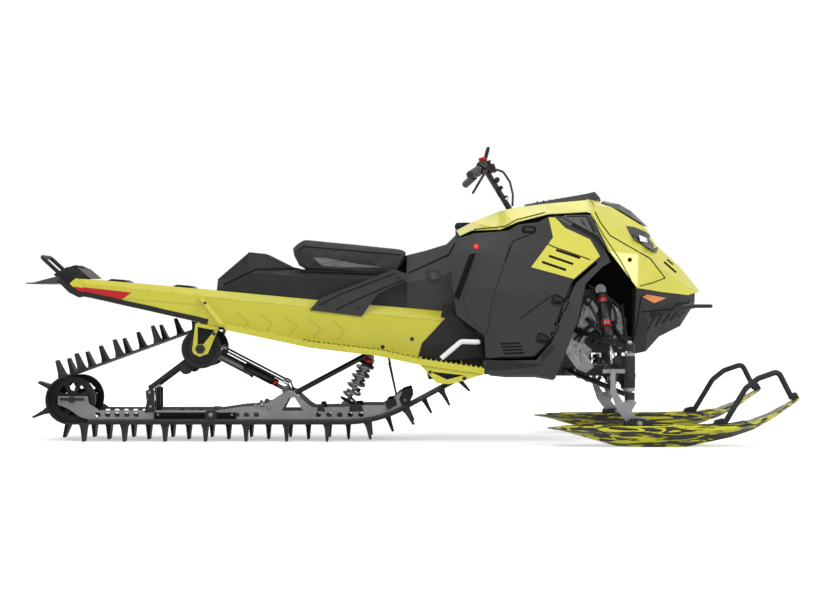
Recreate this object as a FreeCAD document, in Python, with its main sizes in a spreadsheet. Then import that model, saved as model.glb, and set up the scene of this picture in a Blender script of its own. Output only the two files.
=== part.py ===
"""A mountain snowmobile with a long track, drawn as a parametric document.

Lengths are millimetres. +X is forward, +Y is the rider's left and +Z is up.
The origin lies on the snow, halfway between the tip of the skis and the edge of the snow flap.
"""
import FreeCAD, Part
import math
import os
import Sketcher

V = FreeCAD.Vector
DOC = FreeCAD.newDocument("snowmobile")
NODES = {}

# Driving dimensions: alias, value, what it measures
SIZES = (
    ("firewall_x", 200, "from the origin to the wall between tunnel and engine bay"),
    ("tunnel_length", 1640, "firewall to the rear edge of the tunnel"),
    ("nose_length", 1100, "firewall to the tip of the hood"),
    ("body_height", 1100, "snow to the top of the hood vent"),
    ("body_half_width", 345, "centre plane to the widest point of a side panel"),
    ("tunnel_width", 444, "outer width of the tunnel"),
    ("tunnel_wall", 2.5, "sheet of the tunnel"),
    ("tunnel_bevel", 48, "drop of the tunnel's upper bevel at the front"),
    ("board_width", 120, "running board, from the tunnel's side to its outer edge"),
    ("board_wall", 4, "floor of a running board"),
    ("board_edge", 12, "thickness of a running board's outer lip"),
    ("panel_wall", 3, "body panels"),
    ("seat_gap", 0.3, "gap at which soft and curved pieces rest on each other"),
    ("track_width", 406, "belt width"),
    ("belt_thickness", 6, "rubber belt"),
    ("lug_pitch", 88.9, "from one row of lugs to the next"),
    ("lug_height", 76, "lug, from the belt to its tip"),
    ("lug_base", 34, "lug thickness at the belt"),
    ("lug_tip", 9, "lug thickness at its tip"),
    ("lug_width", 96, "width of one paddle"),
    ("idler_radius", 101.6, "rear idler wheel"),
    ("idler_back", 1673, "firewall to the rear idler axle"),
    ("idler_width", 22, "tread of an idler wheel"),
    ("drive_radius", 99, "pitch radius of the drive sprocket"),
    ("drive_back", 41, "firewall to the drive axle"),
    ("carrier_radius", 87, "carrier wheel under the tunnel"),
    ("carrier_back", 1099, "firewall to the carrier wheels' axle"),
    ("ramp_radius", 560, "bend of the track ahead of its flat run"),
    ("ramp_back", 468, "firewall to where the track leaves the snow"),
    ("rail_length", 1560, "slide rail"),
    ("rail_height", 40, "slide rail's beam"),
    ("rail_wall", 9, "thickness of a slide rail"),
    ("rail_gauge", 290, "from one slide rail's middle to the other's"),
    ("shoe_height", 14, "plastic slide under a rail"),
    ("shoe_width", 24, "width of that slide"),
    ("skid_tube", 12, "radius of the skid's tubes"),
    ("axle_radius", 10, "radius of the wheel axles"),
    ("ski_stance", 940, "from one ski's middle to the other's"),
    ("ski_length", 1062, "rear end to tip"),
    ("ski_width", 176, "widest part of a ski"),
    ("ski_depth", 85, "deck of a ski over the snow"),
    ("ski_edge", 20, "height of a ski's side edge"),
    ("keel_width", 60, "flat underside of a ski's keel"),
    ("loop_radius", 12, "radius of a ski's loop"),
    ("kingpin_inset", 38, "kingpin inside the middle of its ski"),
    ("kingpin_radius", 11, "radius of a kingpin"),
    ("kingpin_fit", 0.05, "radial clearance in an arm's eye"),
    ("eye_wall", 11, "wall of an arm's eye"),
    ("eye_height", 30, "height of an arm's eye"),
    ("lower_eye_rise", 212, "snow to the lower eye's middle"),
    ("upper_eye_rise", 418, "snow to the upper eye's middle"),
    ("arm_tube", 11, "radius of the suspension arms' tubes"),
    ("arm_inset", 112, "centre plane to the arms' inner pivots"),
    ("steer_arm", 104, "kingpin to the tie rod's eye"),
    ("tie_tube", 8, "radius of a tie rod"),
    ("joint_gap", 6, "running gap beside a turning piece"),
    ("bar_half_width", 360, "centre plane to the end of a grip"),
    ("bar_tube", 11, "radius of the handlebar"),
    ("grip_radius", 16.5, "radius of a grip"),
    ("grip_length", 125, "length of a grip"),
    ("column_radius", 13, "radius of the steering column"),
    ("hoop_tube", 9, "radius of the rear grab hoop"),
    ("hoop_half_width", 110, "centre plane to a leg of the hoop"),
    ("flap_thickness", 5, "snow flap"),
    ("anchor_hole", 4.2, "radius of an accessory anchor's hole"),
    ("anchor_half", 65, "centre plane to an anchor hole"),
    ("toe_tube", 11, "radius of a toe hold's tube"),
    ("cushion_half_width", 140, "half the width of the seat cushion"),
    ("engine_step", 60, "chamfer on the engine block under the steering struts"),
    ("post_half", 44, "centre plane to a post under the hood vent"),
    ("bumper_tube", 8, "radius of the front bumper bar"),
    ("hinge_half", 341, "centre plane to a side panel's hinge line"),
    ("hinge_length", 32, "length of a side panel's hinge barrel"),
    ("hinge_radius", 7, "radius of that barrel"),
    ("lens_wall", 4, "lamps and reflectors"),
)


class Size(float):
    """A length that also knows the sum of sheet cells it was worked out from."""

    def __new__(cls, value, text):
        size = super().__new__(cls, value)
        size.text = text
        return size

    def __add__(self, other):
        return Size(float(self) + float(other), "(%s + %s)" % (self.text, text_of(other)))

    __radd__ = __add__

    def __sub__(self, other):
        return Size(float(self) - float(other), "(%s - %s)" % (self.text, text_of(other)))

    def __rsub__(self, other):
        return Size(float(other) - float(self), "(%s - %s)" % (text_of(other), self.text))

    def __mul__(self, other):
        return Size(float(self) * float(other), "%s * %s" % (self.text, text_of(other)))

    __rmul__ = __mul__

    def __truediv__(self, other):
        return Size(float(self) / float(other), "%s / %s" % (self.text, text_of(other)))

    def __neg__(self):
        return Size(-float(self), "(0 - %s)" % self.text)


def text_of(value):
    """The expression of a size, or a plain number's own digits."""
    return value.text if isinstance(value, Size) else repr(float(value))


class Sizes:
    """The sheet's cells by name."""


def fill_sheet():
    """Write every driving dimension into the sheet and read it back as a size."""
    sheet = DOC.addObject("Spreadsheet::Sheet", "sizes")
    for row, (alias, value, meaning) in enumerate(SIZES, start=1):
        sheet.set("A%d" % row, meaning)
        sheet.set("B%d" % row, str(value))
        sheet.setAlias("B%d" % row, alias)
    DOC.recompute()
    sizes = Sizes()
    for alias, value, meaning in SIZES:
        setattr(sizes, alias, Size(sheet.get(alias), "sizes." + alias))
    return sizes


S = fill_sheet()


# Places that the pieces share

def tunnel_at(u_share, w_share):
    """A point of the side view behind the firewall."""
    return (S.firewall_x - S.tunnel_length * u_share, S.body_height * w_share)


def nose_at(u_share, w_share):
    """A point of the side view ahead of the firewall."""
    return (S.firewall_x + S.nose_length * u_share, S.body_height * w_share)


def rail_at(u_share, v_share):
    """A point of the side view of a slide rail, from its tail and from the belt."""
    return (RAIL_TAIL_X + S.rail_length * u_share, BELT_TOP + S.rail_height * v_share)


BELT_TOP = S.lug_height + S.belt_thickness
IDLER = (S.firewall_x - S.idler_back, BELT_TOP + S.idler_radius)
DRIVE_SHARE = 0.316364
CARRIER_SHARE = 0.370909
DRIVE = (S.firewall_x - S.drive_back, S.body_height * DRIVE_SHARE)
CARRIER = (S.firewall_x - S.carrier_back, S.body_height * CARRIER_SHARE)
RAMP = (S.firewall_x - S.ramp_back, BELT_TOP + S.ramp_radius)
TAIL_SHARE = 0.6
RAIL_TAIL_X = IDLER[0] - S.idler_radius * TAIL_SHARE
RAIL_Y = S.rail_gauge / 2
TUNNEL_Y = S.tunnel_width / 2
KINGPIN_SHARE = 0.683636
KINGPIN_X = S.firewall_x + S.nose_length * KINGPIN_SHARE
KINGPIN_Y = S.ski_stance / 2 - S.kingpin_inset
TIE_RISE_SHARE = 4.1
TIE_EYE_Z = S.lower_eye_rise + S.eye_height * TIE_RISE_SHARE
TIE_X = KINGPIN_X - S.steer_arm


def flank(x, z):
    """Half width of the bodywork at a point of the side view."""
    low_share, high_share, rear_share, front_share = 0.9, 1.9, 2.4, 0.8
    wide_u_share, wide_w_share = 0.3, 0.5
    u = (float(x) - S.firewall_x) / float(S.nose_length) - wide_u_share
    w = float(z) / float(S.body_height) - wide_w_share
    across = 1 - (rear_share if u < 0 else front_share) * u * u
    up = 1 - (low_share if w < 0 else high_share) * w * w
    return float(S.body_half_width) * across * up


# Ways of making shapes

def feature(label, shape):
    """A document object that holds a shape made by Part's own functions."""
    made = DOC.addObject("Part::Feature", label)
    made.Label = label
    made.Shape = shape
    return made


def closed_solid(faces):
    """One solid from the faces that bound it."""
    shell = Part.Shell(faces)
    solid = Part.Solid(shell)
    if solid.Volume < 0:
        solid.reverse()
    return solid


def flat_faces(corners):
    """One planar face through the corners, or two triangles split over the shorter diagonal."""
    points = [V(*[float(value) for value in corner]) for corner in corners]
    distinct = [point for index, point in enumerate(points)
                if (point - points[index - 1]).Length > Part.Precision.confusion()]
    if len(distinct) < 3:
        return []
    if len(distinct) == 3:
        return [Part.Face(Part.makePolygon(distinct + distinct[:1]))]
    first, second, third, fourth = distinct
    normal = (second - first).cross(third - first)
    flat = normal.Length and abs((fourth - first).dot(normal)) / normal.Length < Part.Precision.confusion()
    if flat:
        return [Part.Face(Part.makePolygon([first, second, third, fourth, first]))]
    if (fourth - second).Length < (third - first).Length:
        first, second, third, fourth = second, third, fourth, first
    return [Part.Face(Part.makePolygon([first, second, third, first])),
            Part.Face(Part.makePolygon([first, third, fourth, first]))]


def ring_solid(rings):
    """A faceted solid through a row of closed rings with as many points each."""
    faces = []
    count = len(rings[0])
    for near, far in zip(rings, rings[1:]):
        for index in range(count):
            after = (index + 1) % count
            faces += flat_faces((near[index], near[after], far[after], far[index]))
    for ring in (rings[0], rings[-1]):
        middle = [sum(float(point[axis]) for point in ring) / count for axis in range(3)]
        for index in range(count):
            faces += flat_faces((ring[index], ring[(index + 1) % count], middle))
    return closed_solid(faces)


def sheet_solid(rows, wall):
    """A faceted sheet through rows of points, with its wall on the side away from its normals."""
    grid = [[V(*[float(value) for value in point]) for point in row] for row in rows]
    tall, wide = len(grid), len(grid[0])
    normals = [[V() for point in row] for row in grid]
    for i in range(tall - 1):
        for j in range(wide - 1):
            across = (grid[i][j + 1] - grid[i + 1][j])
            along = (grid[i + 1][j + 1] - grid[i][j])
            normal = along.cross(across)
            if normal.Length:
                normal.normalize()
            for di in (0, 1):
                for dj in (0, 1):
                    normals[i + di][j + dj] = normals[i + di][j + dj] + normal
    inner = []
    for row, row_normals in zip(grid, normals):
        line = []
        for point, normal in zip(row, row_normals):
            if normal.Length:
                normal.normalize()
            line.append(point - normal * float(wall))
        inner.append(line)
    faces = []
    for i in range(tall - 1):
        for j in range(wide - 1):
            for net in (grid, inner):
                faces += flat_faces([tuple(p) for p in (net[i][j], net[i][j + 1], net[i + 1][j + 1], net[i + 1][j])])
    edge = [(i, 0) for i in range(tall)] + [(tall - 1, j) for j in range(1, wide)]
    edge += [(i, wide - 1) for i in range(tall - 2, -1, -1)] + [(0, j) for j in range(wide - 2, 0, -1)]
    for (i, j), (k, m) in zip(edge, edge[1:] + edge[:1]):
        faces += flat_faces([tuple(p) for p in (grid[i][j], grid[k][m], inner[k][m], inner[i][j])])
    return closed_solid(faces)


def both_sides(rows):
    """Rows of points of the right half, carried on over the centre plane to the left."""
    whole = []
    for row in rows:
        left = [(x, -y, z) for x, y, z in reversed(row) if float(y)]
        whole.append(list(row) + left)
    return whole


def prism(outline, near, far):
    """A side-view outline made solid from one Y to another."""
    points = [V(float(x), float(near), float(z)) for x, z in outline]
    face = Part.Face(Part.makePolygon(points + points[:1]))
    return face.extrude(V(0, float(far) - float(near), 0))


def rod(start, end, radius):
    """A round bar between two points."""
    first = V(*[float(value) for value in start])
    along = V(*[float(value) for value in end]) - first
    return Part.makeCylinder(float(radius), along.Length, first, along)


def tube(route, radius, bend):
    """A round bar that follows a route, with each corner rounded to the bend radius."""
    points = [V(*[float(value) for value in point]) for point in route]
    edges = []
    start = points[0]
    for before, corner, after in zip(points, points[1:], points[2:]):
        into = (corner - before).normalize()
        out = (after - corner).normalize()
        half = into.getAngle(out) / 2
        reach = float(bend) * math.tan(half)
        first, last = corner - into * reach, corner + out * reach
        middle = corner + (out - into).normalize() * (float(bend) / math.cos(half) - float(bend))
        edges.append(Part.LineSegment(start, first).toShape())
        edges.append(Part.Arc(first, middle, last).toShape())
        start = last
    edges.append(Part.LineSegment(start, points[-1]).toShape())
    section = Part.Wire(Part.makeCircle(float(radius), points[0], points[1] - points[0]))
    return Part.Wire(edges).makePipeShell([section], True, False)


def turned(profile, x, z, y_low):
    """A wheel turned about an axle along Y, from its profile of radius and width."""
    points = [V(float(x) + float(radius), float(y_low) + float(width), float(z)) for radius, width in profile]
    face = Part.Face(Part.makePolygon(points + points[:1]))
    return face.revolve(V(float(x), 0, float(z)), V(0, 1, 0), 360)


def mirrored(shape):
    """The same shape on the other side of the centre plane."""
    return shape.mirror(V(0, 0, 0), V(0, 1, 0))


def joined(shapes):
    """Shapes that touch, fused to one solid."""
    return shapes[0].fuse(list(shapes[1:])).removeSplitter()


def seated(shape, onto, way):
    """The shape moved along a direction until it lies at the seat gap from another."""
    steps = 16
    for step in range(steps):
        room = shape.distToShape(onto)[0] - float(S.seat_gap)
        if room > Part.Precision.confusion():
            shape = shape.translated(V(*way).normalize() * room)
    return shape


def drawn_sketch(body, name, loops, holes, depth):
    """A sketch on the body's XZ plane, each corner and round hole held by expressions."""
    plane = [item for item in body.Origin.OriginFeatures if item.Role == "XZ_Plane"][0]
    sketch = body.newObject("Sketcher::SketchObject", name)
    sketch.AttachmentSupport = (plane, [""])
    sketch.MapMode = "FlatFace"
    sketch.setExpression("AttachmentOffset.Base.z", text_of(depth))
    held = []
    first = 0
    for x, z, radius in holes:
        sketch.addGeometry(Part.Circle(V(float(x), float(z), 0), V(0, 0, 1), float(radius)), False)
        for kind, size in (("DistanceX", x), ("DistanceY", z)):
            place = sketch.addConstraint(Sketcher.Constraint(kind, -1, 1, first, 3, float(size)))
            held.append((place, size))
        held.append((sketch.addConstraint(Sketcher.Constraint("Radius", first, float(radius))), radius))
        first += 1
    for loop in loops:
        corners = [V(float(x), float(z), 0) for x, z in loop]
        count = len(corners)
        lines = [Part.LineSegment(corners[i], corners[(i + 1) % count]) for i in range(count)]
        sketch.addGeometry(lines, False)
        for index in range(count):
            after = first + (index + 1) % count
            sketch.addConstraint(Sketcher.Constraint("Coincident", first + index, 2, after, 1))
        for index, (x, z) in enumerate(loop):
            for kind, size in (("DistanceX", x), ("DistanceY", z)):
                place = sketch.addConstraint(Sketcher.Constraint(kind, -1, 1, first + index, 1, float(size)))
                held.append((place, size))
        first += count
    for place, size in held:
        if isinstance(size, Size):
            sketch.setExpression("Constraints[%d]" % place, size.text)
    return sketch


def plate(name, loops, near, thickness, holes=()):
    """A flat plate on the right side, from a sketch of its side view with windows and round holes."""
    body = DOC.addObject("PartDesign::Body", name)
    sketch = drawn_sketch(body, name + "_outline", loops, holes, near)
    pad = body.newObject("PartDesign::Pad", name + "_pad")
    pad.Profile = sketch
    pad.setExpression("Length", text_of(thickness))
    body.Tip = pad
    return body


def twin(source):
    """The left-hand copy of an object on the right."""
    copy = DOC.addObject("Part::Mirroring", source.Name + "_left")
    copy.Source = source
    copy.Normal = V(0, 1, 0)
    return copy


def node(label, *pieces):
    """Export these pieces as one sub-part: one object, or a compound of several that don't touch."""
    if len(pieces) == 1:
        made = pieces[0]
    else:
        made = DOC.addObject("Part::Compound", label)
        made.Links = list(pieces)
    made.Label = label
    NODES[label] = made


# Track and its wheels

TRACK_CIRCLES = ((IDLER, S.idler_radius), (RAMP, S.ramp_radius), (DRIVE, S.drive_radius), (CARRIER, S.carrier_radius))


def track_corners(offset):
    """Where a belt at this offset meets each circle: centre, radius, start and end angle."""
    circles = [(float(c[0]), float(c[1]), float(r) + float(offset)) for c, r in TRACK_CIRCLES]
    leaving = []
    for (x0, z0, r0), (x1, z1, r1) in zip(circles, circles[1:] + circles[:1]):
        heading = math.atan2(z1 - z0, x1 - x0)
        spread = math.acos((r0 - r1) / math.hypot(x1 - x0, z1 - z0))
        leaving.append(heading - spread)
    corners = []
    for index, (x, z, radius) in enumerate(circles):
        start, end = leaving[index - 1], leaving[index]
        while end < start:
            end += 2 * math.pi
        corners.append((x, z, radius, start, end))
    return corners


def track_wire(offset, y):
    """The closed belt line at this offset from the wheels."""
    corners = track_corners(offset)

    def on(corner, angle):
        return V(corner[0] + corner[2] * math.cos(angle), float(y), corner[1] + corner[2] * math.sin(angle))

    edges = []
    for corner, after in zip(corners, corners[1:] + corners[:1]):
        start, end = on(corner, corner[3]), on(corner, corner[4])
        edges.append(Part.Arc(start, on(corner, (corner[3] + corner[4]) / 2), end).toShape())
        edges.append(Part.LineSegment(end, on(after, after[3])).toShape())
    return Part.Wire(edges)


def make_track():
    """The belt with rows of paddles set in turn at the middle and at the sides."""
    outside, inside = [Part.Face(track_wire(offset, -S.track_width / 2)).extrude(V(0, float(S.track_width), 0))
                       for offset in (S.belt_thickness, 0)]
    belt = outside.cut(inside)
    line = track_wire(S.belt_thickness, 0)
    rows = round(line.Length / float(S.lug_pitch))
    step = line.Length / rows
    places = []
    travelled = 0
    for edge in line.OrderedEdges:
        while len(places) * step < travelled + edge.Length and len(places) < rows:
            along = edge.getParameterByLength(len(places) * step - travelled)
            if edge.Orientation == "Reversed":
                along = edge.getParameterByLength(edge.Length - (len(places) * step - travelled))
            places.append((edge.valueAt(along), edge.tangentAt(along)))
        travelled += edge.Length
    side_share = 0.37
    spots = ((-side_share, side_share), (0,))
    lugs = []
    middle = V(float(RAMP[0]), 0, float(DRIVE[1]))
    for row, (foot, along) in enumerate(places):
        out = V(-along.z, 0, along.x)
        if out.dot(foot - middle) < 0:
            out = out * -1
        for share in spots[row % 2]:
            y = float(S.track_width) * share
            lugs.append(paddle(foot, along, out, y))
    return belt.fuse(lugs)


PADDLE_SHARES = ((0.24, 0.42, 1.0), (0.62, 0.2, 0.86), (1.0, 0.0, 0.72))


def paddle(foot, along, out, y):
    """One claw-like paddle on the belt: a broad root, a waist and a narrow tip."""
    root_share = 0.5
    levels = [(-S.belt_thickness * root_share, S.lug_base, S.lug_width)]
    for height_share, base_share, width_share in PADDLE_SHARES:
        thick = S.lug_tip + (S.lug_base - S.lug_tip) * base_share
        levels.append((S.lug_height * height_share, thick, S.lug_width * width_share))
    rings = []
    for height, thick, wide in levels:
        ring = []
        for a_side, y_side in ((-1, -1), (1, -1), (1, 1), (-1, 1)):
            point = foot + out * float(height) + along * (a_side * float(thick) / 2)
            ring.append(tuple(point + V(0, y + y_side * float(wide) / 2, 0)))
        rings.append(ring)
    return ring_solid(rings)


def spoked_wheel(centre, radius, width, y_low, windows):
    """A wheel with a hub, a tread and round windows between its spokes."""
    hub_share, rim_share, web_share = 0.26, 0.78, 0.36
    hub, rim, web = radius * hub_share, radius * rim_share, width * web_share
    low, high = (width - web) / 2, (width + web) / 2
    profile = ((S.axle_radius, 0), (hub, 0), (hub, low), (rim, low), (rim, 0), (radius, 0),
               (radius, width), (rim, width), (rim, high), (hub, high), (hub, width), (S.axle_radius, width))
    wheel = turned(profile, centre[0], centre[1], y_low)
    near_share, far_share, near_turn_share, far_turn_share = 0.36, 0.72, 0.2, 0.31
    cuts = []
    for index in range(windows):
        corners = []
        for out_share, turn_share in ((near_share, -near_turn_share), (far_share, -far_turn_share),
                                      (far_share, far_turn_share), (near_share, near_turn_share)):
            angle = 2 * math.pi * (index + turn_share) / windows
            corners.append((centre[0] + radius * out_share * math.cos(angle),
                            centre[1] + radius * out_share * math.sin(angle)))
        cuts.append(prism(corners, y_low, y_low + width))
    return wheel.cut(cuts) if cuts else wheel


def make_wheels():
    """Rear idlers and carrier wheels, each pair on its axle."""
    spokes = 8
    rubber = S.idler_radius - S.seat_gap
    inner_y = -RAIL_Y + S.rail_wall / 2 + S.joint_gap
    idlers = [spoked_wheel(IDLER, rubber, S.idler_width, inner_y, spokes)]
    idlers += [mirrored(wheel) for wheel in idlers]
    axle = cross(IDLER, RAIL_Y + S.rail_wall / 2 + S.joint_gap * 2, S.axle_radius)
    rear = joined([axle] + idlers)
    inset_share = 1.4
    carrier_y = -TUNNEL_Y + S.idler_width * inset_share
    disc = spoked_wheel(CARRIER, S.carrier_radius - S.seat_gap, S.idler_width, carrier_y, 0)
    shaft = cross(CARRIER, TUNNEL_Y + S.seat_gap + S.board_wall * 2, S.axle_radius)
    carriers = joined([shaft, disc, mirrored(disc)])
    node("idler_wheels", feature("rear_idlers", rear), feature("carrier_wheels", carriers))


def make_drive_axle():
    """The driving shaft with its two toothed sprockets."""
    thick_share, y_share, wide_share, crest_share, gullet_share = 1.6, 0.42, 0.08, 0.997, 0.8
    shaft = cross(DRIVE, TUNNEL_Y - S.tunnel_wall - S.seat_gap, S.axle_radius * thick_share)
    teeth = 7
    sprockets = []
    for side in (-1, 1):
        y = float(S.track_width) * y_share * side / 2
        points = []
        for index in range(2 * teeth):
            reach = float(S.drive_radius) * (crest_share if index % 2 else gullet_share)
            angle = math.pi * index / teeth
            points.append((DRIVE[0] + reach * math.cos(angle), DRIVE[1] + reach * math.sin(angle)))
        wide = float(S.track_width) * wide_share
        sprockets.append(prism(points, y - wide / 2, y + wide / 2))
    node("drive_axle", feature("drive_shaft", joined([shaft] + sprockets)))


# Slide rails and what they carry

def ramp_point(angle_share, inset):
    """A point above the track's ramp, at an inset from the belt."""
    corner = track_corners(0)[1]
    angle = -math.pi / 2 + (corner[4] + math.pi / 2) * angle_share
    radius = float(S.ramp_radius) - float(inset)
    return (float(RAMP[0]) + radius * math.cos(angle), float(RAMP[1]) + radius * math.sin(angle))


def make_rails():
    """Right and left slide rails with their plastic slides."""
    steps = 5
    over = S.shoe_height
    under = [ramp_point(index / steps, over) for index in range(steps + 1)]
    top_shares = ((0.99, 3.7), (0.965, 3.3), (0.945, 2.55), (0.917, 1.9), (0.85, 1.9), (0.81, 1.72), (0.72, 1.65),
                  (0.705, 2.0), (0.667, 3.4), (0.65, 3.6), (0.592, 2.15), (0.547, 1.8), (0.516, 1.72),
                  (0.454, 1.36), (0.116, 1.34), (0.088, 2.1), (0.084, 2.9), (0.0, 2.9), (0.0, 2.0),
                  (0.03, 1.5), (0.062, 0.62), (0.085, 0.35))
    outline = under + [rail_at(u, v) for u, v in top_shares]
    axle_hole = (IDLER[0], IDLER[1], S.axle_radius + S.seat_gap)
    window_shares = ((0.632, 1.3), (0.692, 1.3), (0.668, 2.75), (0.652, 2.75))
    window = [rail_at(u, v) for u, v in window_shares]
    beam = plate("rail_beam", [outline, window], RAIL_Y - S.rail_wall / 2, S.rail_wall, [axle_hole])
    rail = DOC.addObject("Part::Cut", "rail")
    rail.Base = beam
    rail.Tool = feature("rail_slots", Part.makeCompound(rail_slots()))
    node("slide_rails", rail, twin(rail))
    shoe = [ramp_point(index / steps, S.seat_gap) for index in range(steps + 1)]
    shoe += [ramp_point(index / steps, over) for index in range(steps, -1, -1)]
    tail = rail_at(top_shares[-1][0], 0)[0]
    shoe = [(tail, BELT_TOP + S.seat_gap)] + shoe + [(tail, BELT_TOP + over)]
    slide = prism(shoe, -RAIL_Y - S.shoe_width / 2, -RAIL_Y + S.shoe_width / 2)
    node("slides", feature("slide_right", slide), feature("slide_left", mirrored(slide)))


RAIL_SLOT_SHARES = (0.113, 0.14, 0.167, 0.194, 0.221, 0.33, 0.36, 0.385, 0.43, 0.455, 0.48, 0.505, 0.532, 0.56,
                    0.735, 0.765, 0.795, 0.825, 0.855)


def rail_slots():
    """The room of the oblong windows in a rail's beam."""
    low_share, middle_share, high_share, half_share, tip_share = 0.62, 0.86, 1.1, 0.005, 0.0085
    slots = []
    for u in RAIL_SLOT_SHARES:
        outline = (rail_at(u - half_share, low_share), rail_at(u + half_share, low_share),
                   rail_at(u + tip_share, middle_share), rail_at(u + half_share, high_share),
                   rail_at(u - half_share, high_share), rail_at(u - tip_share, middle_share))
        slots.append(prism(outline, -RAIL_Y - S.rail_wall, -RAIL_Y + S.rail_wall))
    return slots


PIVOT_PLACE_SHARES = (0.214, 0.355)
REAR_FOOT_SHARES = (0.262, 3.9)
FRONT_FOOT_SHARES = (0.66, 3.0)
SHOCK_FOOT_SHARES = (0.8, 1.0)
FRONT_PIVOT = tunnel_at(*PIVOT_PLACE_SHARES)
REAR_FOOT = rail_at(*REAR_FOOT_SHARES)
FRONT_FOOT = rail_at(*FRONT_FOOT_SHARES)
SHOCK_FOOT = rail_at(*SHOCK_FOOT_SHARES)
EYE_SHARE = 1.05
ROOT_SHARE = 1.5


def cross(place, half, radius):
    """A shaft across the machine at a point of the side view."""
    return rod((place[0], -half, place[1]), (place[0], half, place[1]), radius)


def make_skid_arms():
    """The two swing arms between tunnel and rails, the cross bars and the limiter strap."""
    size = S.skid_tube
    inside = RAIL_Y - S.rail_wall / 2 - size - S.seat_gap
    pivot_share, leg_share, tie_share = 0.36, 0.85, 0.7
    pivot_half = S.track_width * pivot_share
    rear = [cross(CARRIER, pivot_half, size * ROOT_SHARE), cross(REAR_FOOT, inside + size, size)]
    front = [cross(FRONT_PIVOT, TUNNEL_Y - S.tunnel_wall - S.seat_gap, size), cross(FRONT_FOOT, inside + size, size)]
    for side in (-1, 1):
        y = side * inside
        foot = rail_at(REAR_FOOT_SHARES[0], 1)
        leg = size * leg_share
        rear.append(rod((CARRIER[0], y, CARRIER[1]), (REAR_FOOT[0], y, REAR_FOOT[1]), leg))
        rear.append(rod((REAR_FOOT[0], y, REAR_FOOT[1]), (foot[0], y, foot[1]), leg))
        front.append(rod((FRONT_PIVOT[0], y, FRONT_PIVOT[1]), (FRONT_FOOT[0], y, FRONT_FOOT[1]), leg))
    bore = cross(CARRIER, pivot_half, S.axle_radius + S.seat_gap)
    low_bar = cross(SHOCK_FOOT, inside + size, size)
    strap_foot_shares, strap_head_shares = (0.955, 2.75), ((0.172, 0.31), (0.165, 0.31))
    strap_foot = rail_at(*strap_foot_shares)
    head_back, head_front = [tunnel_at(u, w) for u, w in strap_head_shares]
    strap = prism((head_back, head_front, (strap_foot[0] + S.board_wall, strap_foot[1]),
                   (strap_foot[0] - S.board_wall, strap_foot[1])), -size * 2, size * 2)
    tie = cross(strap_foot, inside + size, size * tie_share)
    node("suspension_arms", feature("rear_arm", joined(rear).cut(bore)), feature("front_arm", joined(front)),
         feature("shock_bar", low_bar), feature("limiter_strap", joined([strap, tie])))


def shock(top, low, radius, coil):
    """A damper: body, rod, two eyes and, on one of them, a coil spring."""
    start, end = V(*[float(v) for v in top]), V(*[float(v) for v in low])
    along = end - start
    body_share, rod_share = 0.55, 0.45
    pieces = [rod(tuple(start), tuple(start + along * body_share), radius),
              rod(tuple(start + along * body_share), tuple(end), radius * rod_share)]
    eye = float(radius) * EYE_SHARE
    for place in (start, end):
        pieces.append(Part.makeCylinder(eye, eye * 2, place - V(0, eye, 0), V(0, 1, 0)))
    if coil:
        coil_share, pitch_share, first_share, turns = 1.45, 0.1, 0.2, 6
        for index in range(turns):
            low_share = first_share + index * pitch_share
            pieces.append(rod(tuple(start + along * low_share),
                              tuple(start + along * (low_share + pitch_share / 2)), radius * coil_share))
    return joined(pieces)


def hung(place, towards, reach):
    """The point at this reach from a shaft, on the line to another shaft."""
    length = math.hypot(towards[0] - place[0], towards[1] - place[1])
    x, z = [float(a) + (float(b) - float(a)) * float(reach) / length for a, b in zip(place, towards)]
    return (x, 0, z)


def make_skid_shocks():
    """The centre and the rear damper of the skid, each eye against its cross bar."""
    thick_share = 1.7
    radius = S.skid_tube * thick_share
    eye = radius * EYE_SHARE + S.seat_gap
    rear = shock(hung(CARRIER, FRONT_FOOT, S.skid_tube * ROOT_SHARE + eye), hung(FRONT_FOOT, CARRIER, S.skid_tube + eye),
                 radius, False)
    centre = shock(hung(FRONT_PIVOT, SHOCK_FOOT, S.skid_tube + eye), hung(SHOCK_FOOT, FRONT_PIVOT, S.skid_tube + eye),
                   radius, True)
    node("skid_shocks", feature("rear_shock", rear), feature("centre_shock", centre))


# Tunnel, boards and the tail

TUNNEL_TOP_SHARES = ((1.0, 0.65, 0.35), (0.962, 0.647, 0.38), (0.648, 0.6055, 0.6), (0.375, 0.567, 0.85),
                     (0.196, 0.5425, 0.9), (0.0105, 0.52, 1.0))
TUNNEL_LOW_SHARES = ((0.992, 0.581), (0.962, 0.573), (0.648, 0.467), (0.375, 0.389), (0.196, 0.345), (0.091, 0.318))


def make_tunnel():
    """The folded sheet over the track: flat top, bevel and sides."""
    rows = []
    for (u, w, drop_share), (u_low, w_low) in zip(TUNNEL_TOP_SHARES, TUNNEL_LOW_SHARES):
        x, z = tunnel_at(u, w)
        x_low, z_low = tunnel_at(u_low, w_low)
        drop = S.tunnel_bevel * drop_share
        rows.append(((x_low, -TUNNEL_Y, z_low), (x, -TUNNEL_Y, z - drop), (x, -TUNNEL_Y + drop, z), (x, 0, z)))
    node("tunnel", feature("tunnel_sheet", sheet_solid(both_sides(rows), S.tunnel_wall)))


BOARD_SHARES = ((0.6, 0.471, 0.8), (0.375, 0.401, 1.0), (0.196, 0.369, 1.0), (0.086, 0.334, 1.0), (-0.083, 0.297, 1.0))


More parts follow.
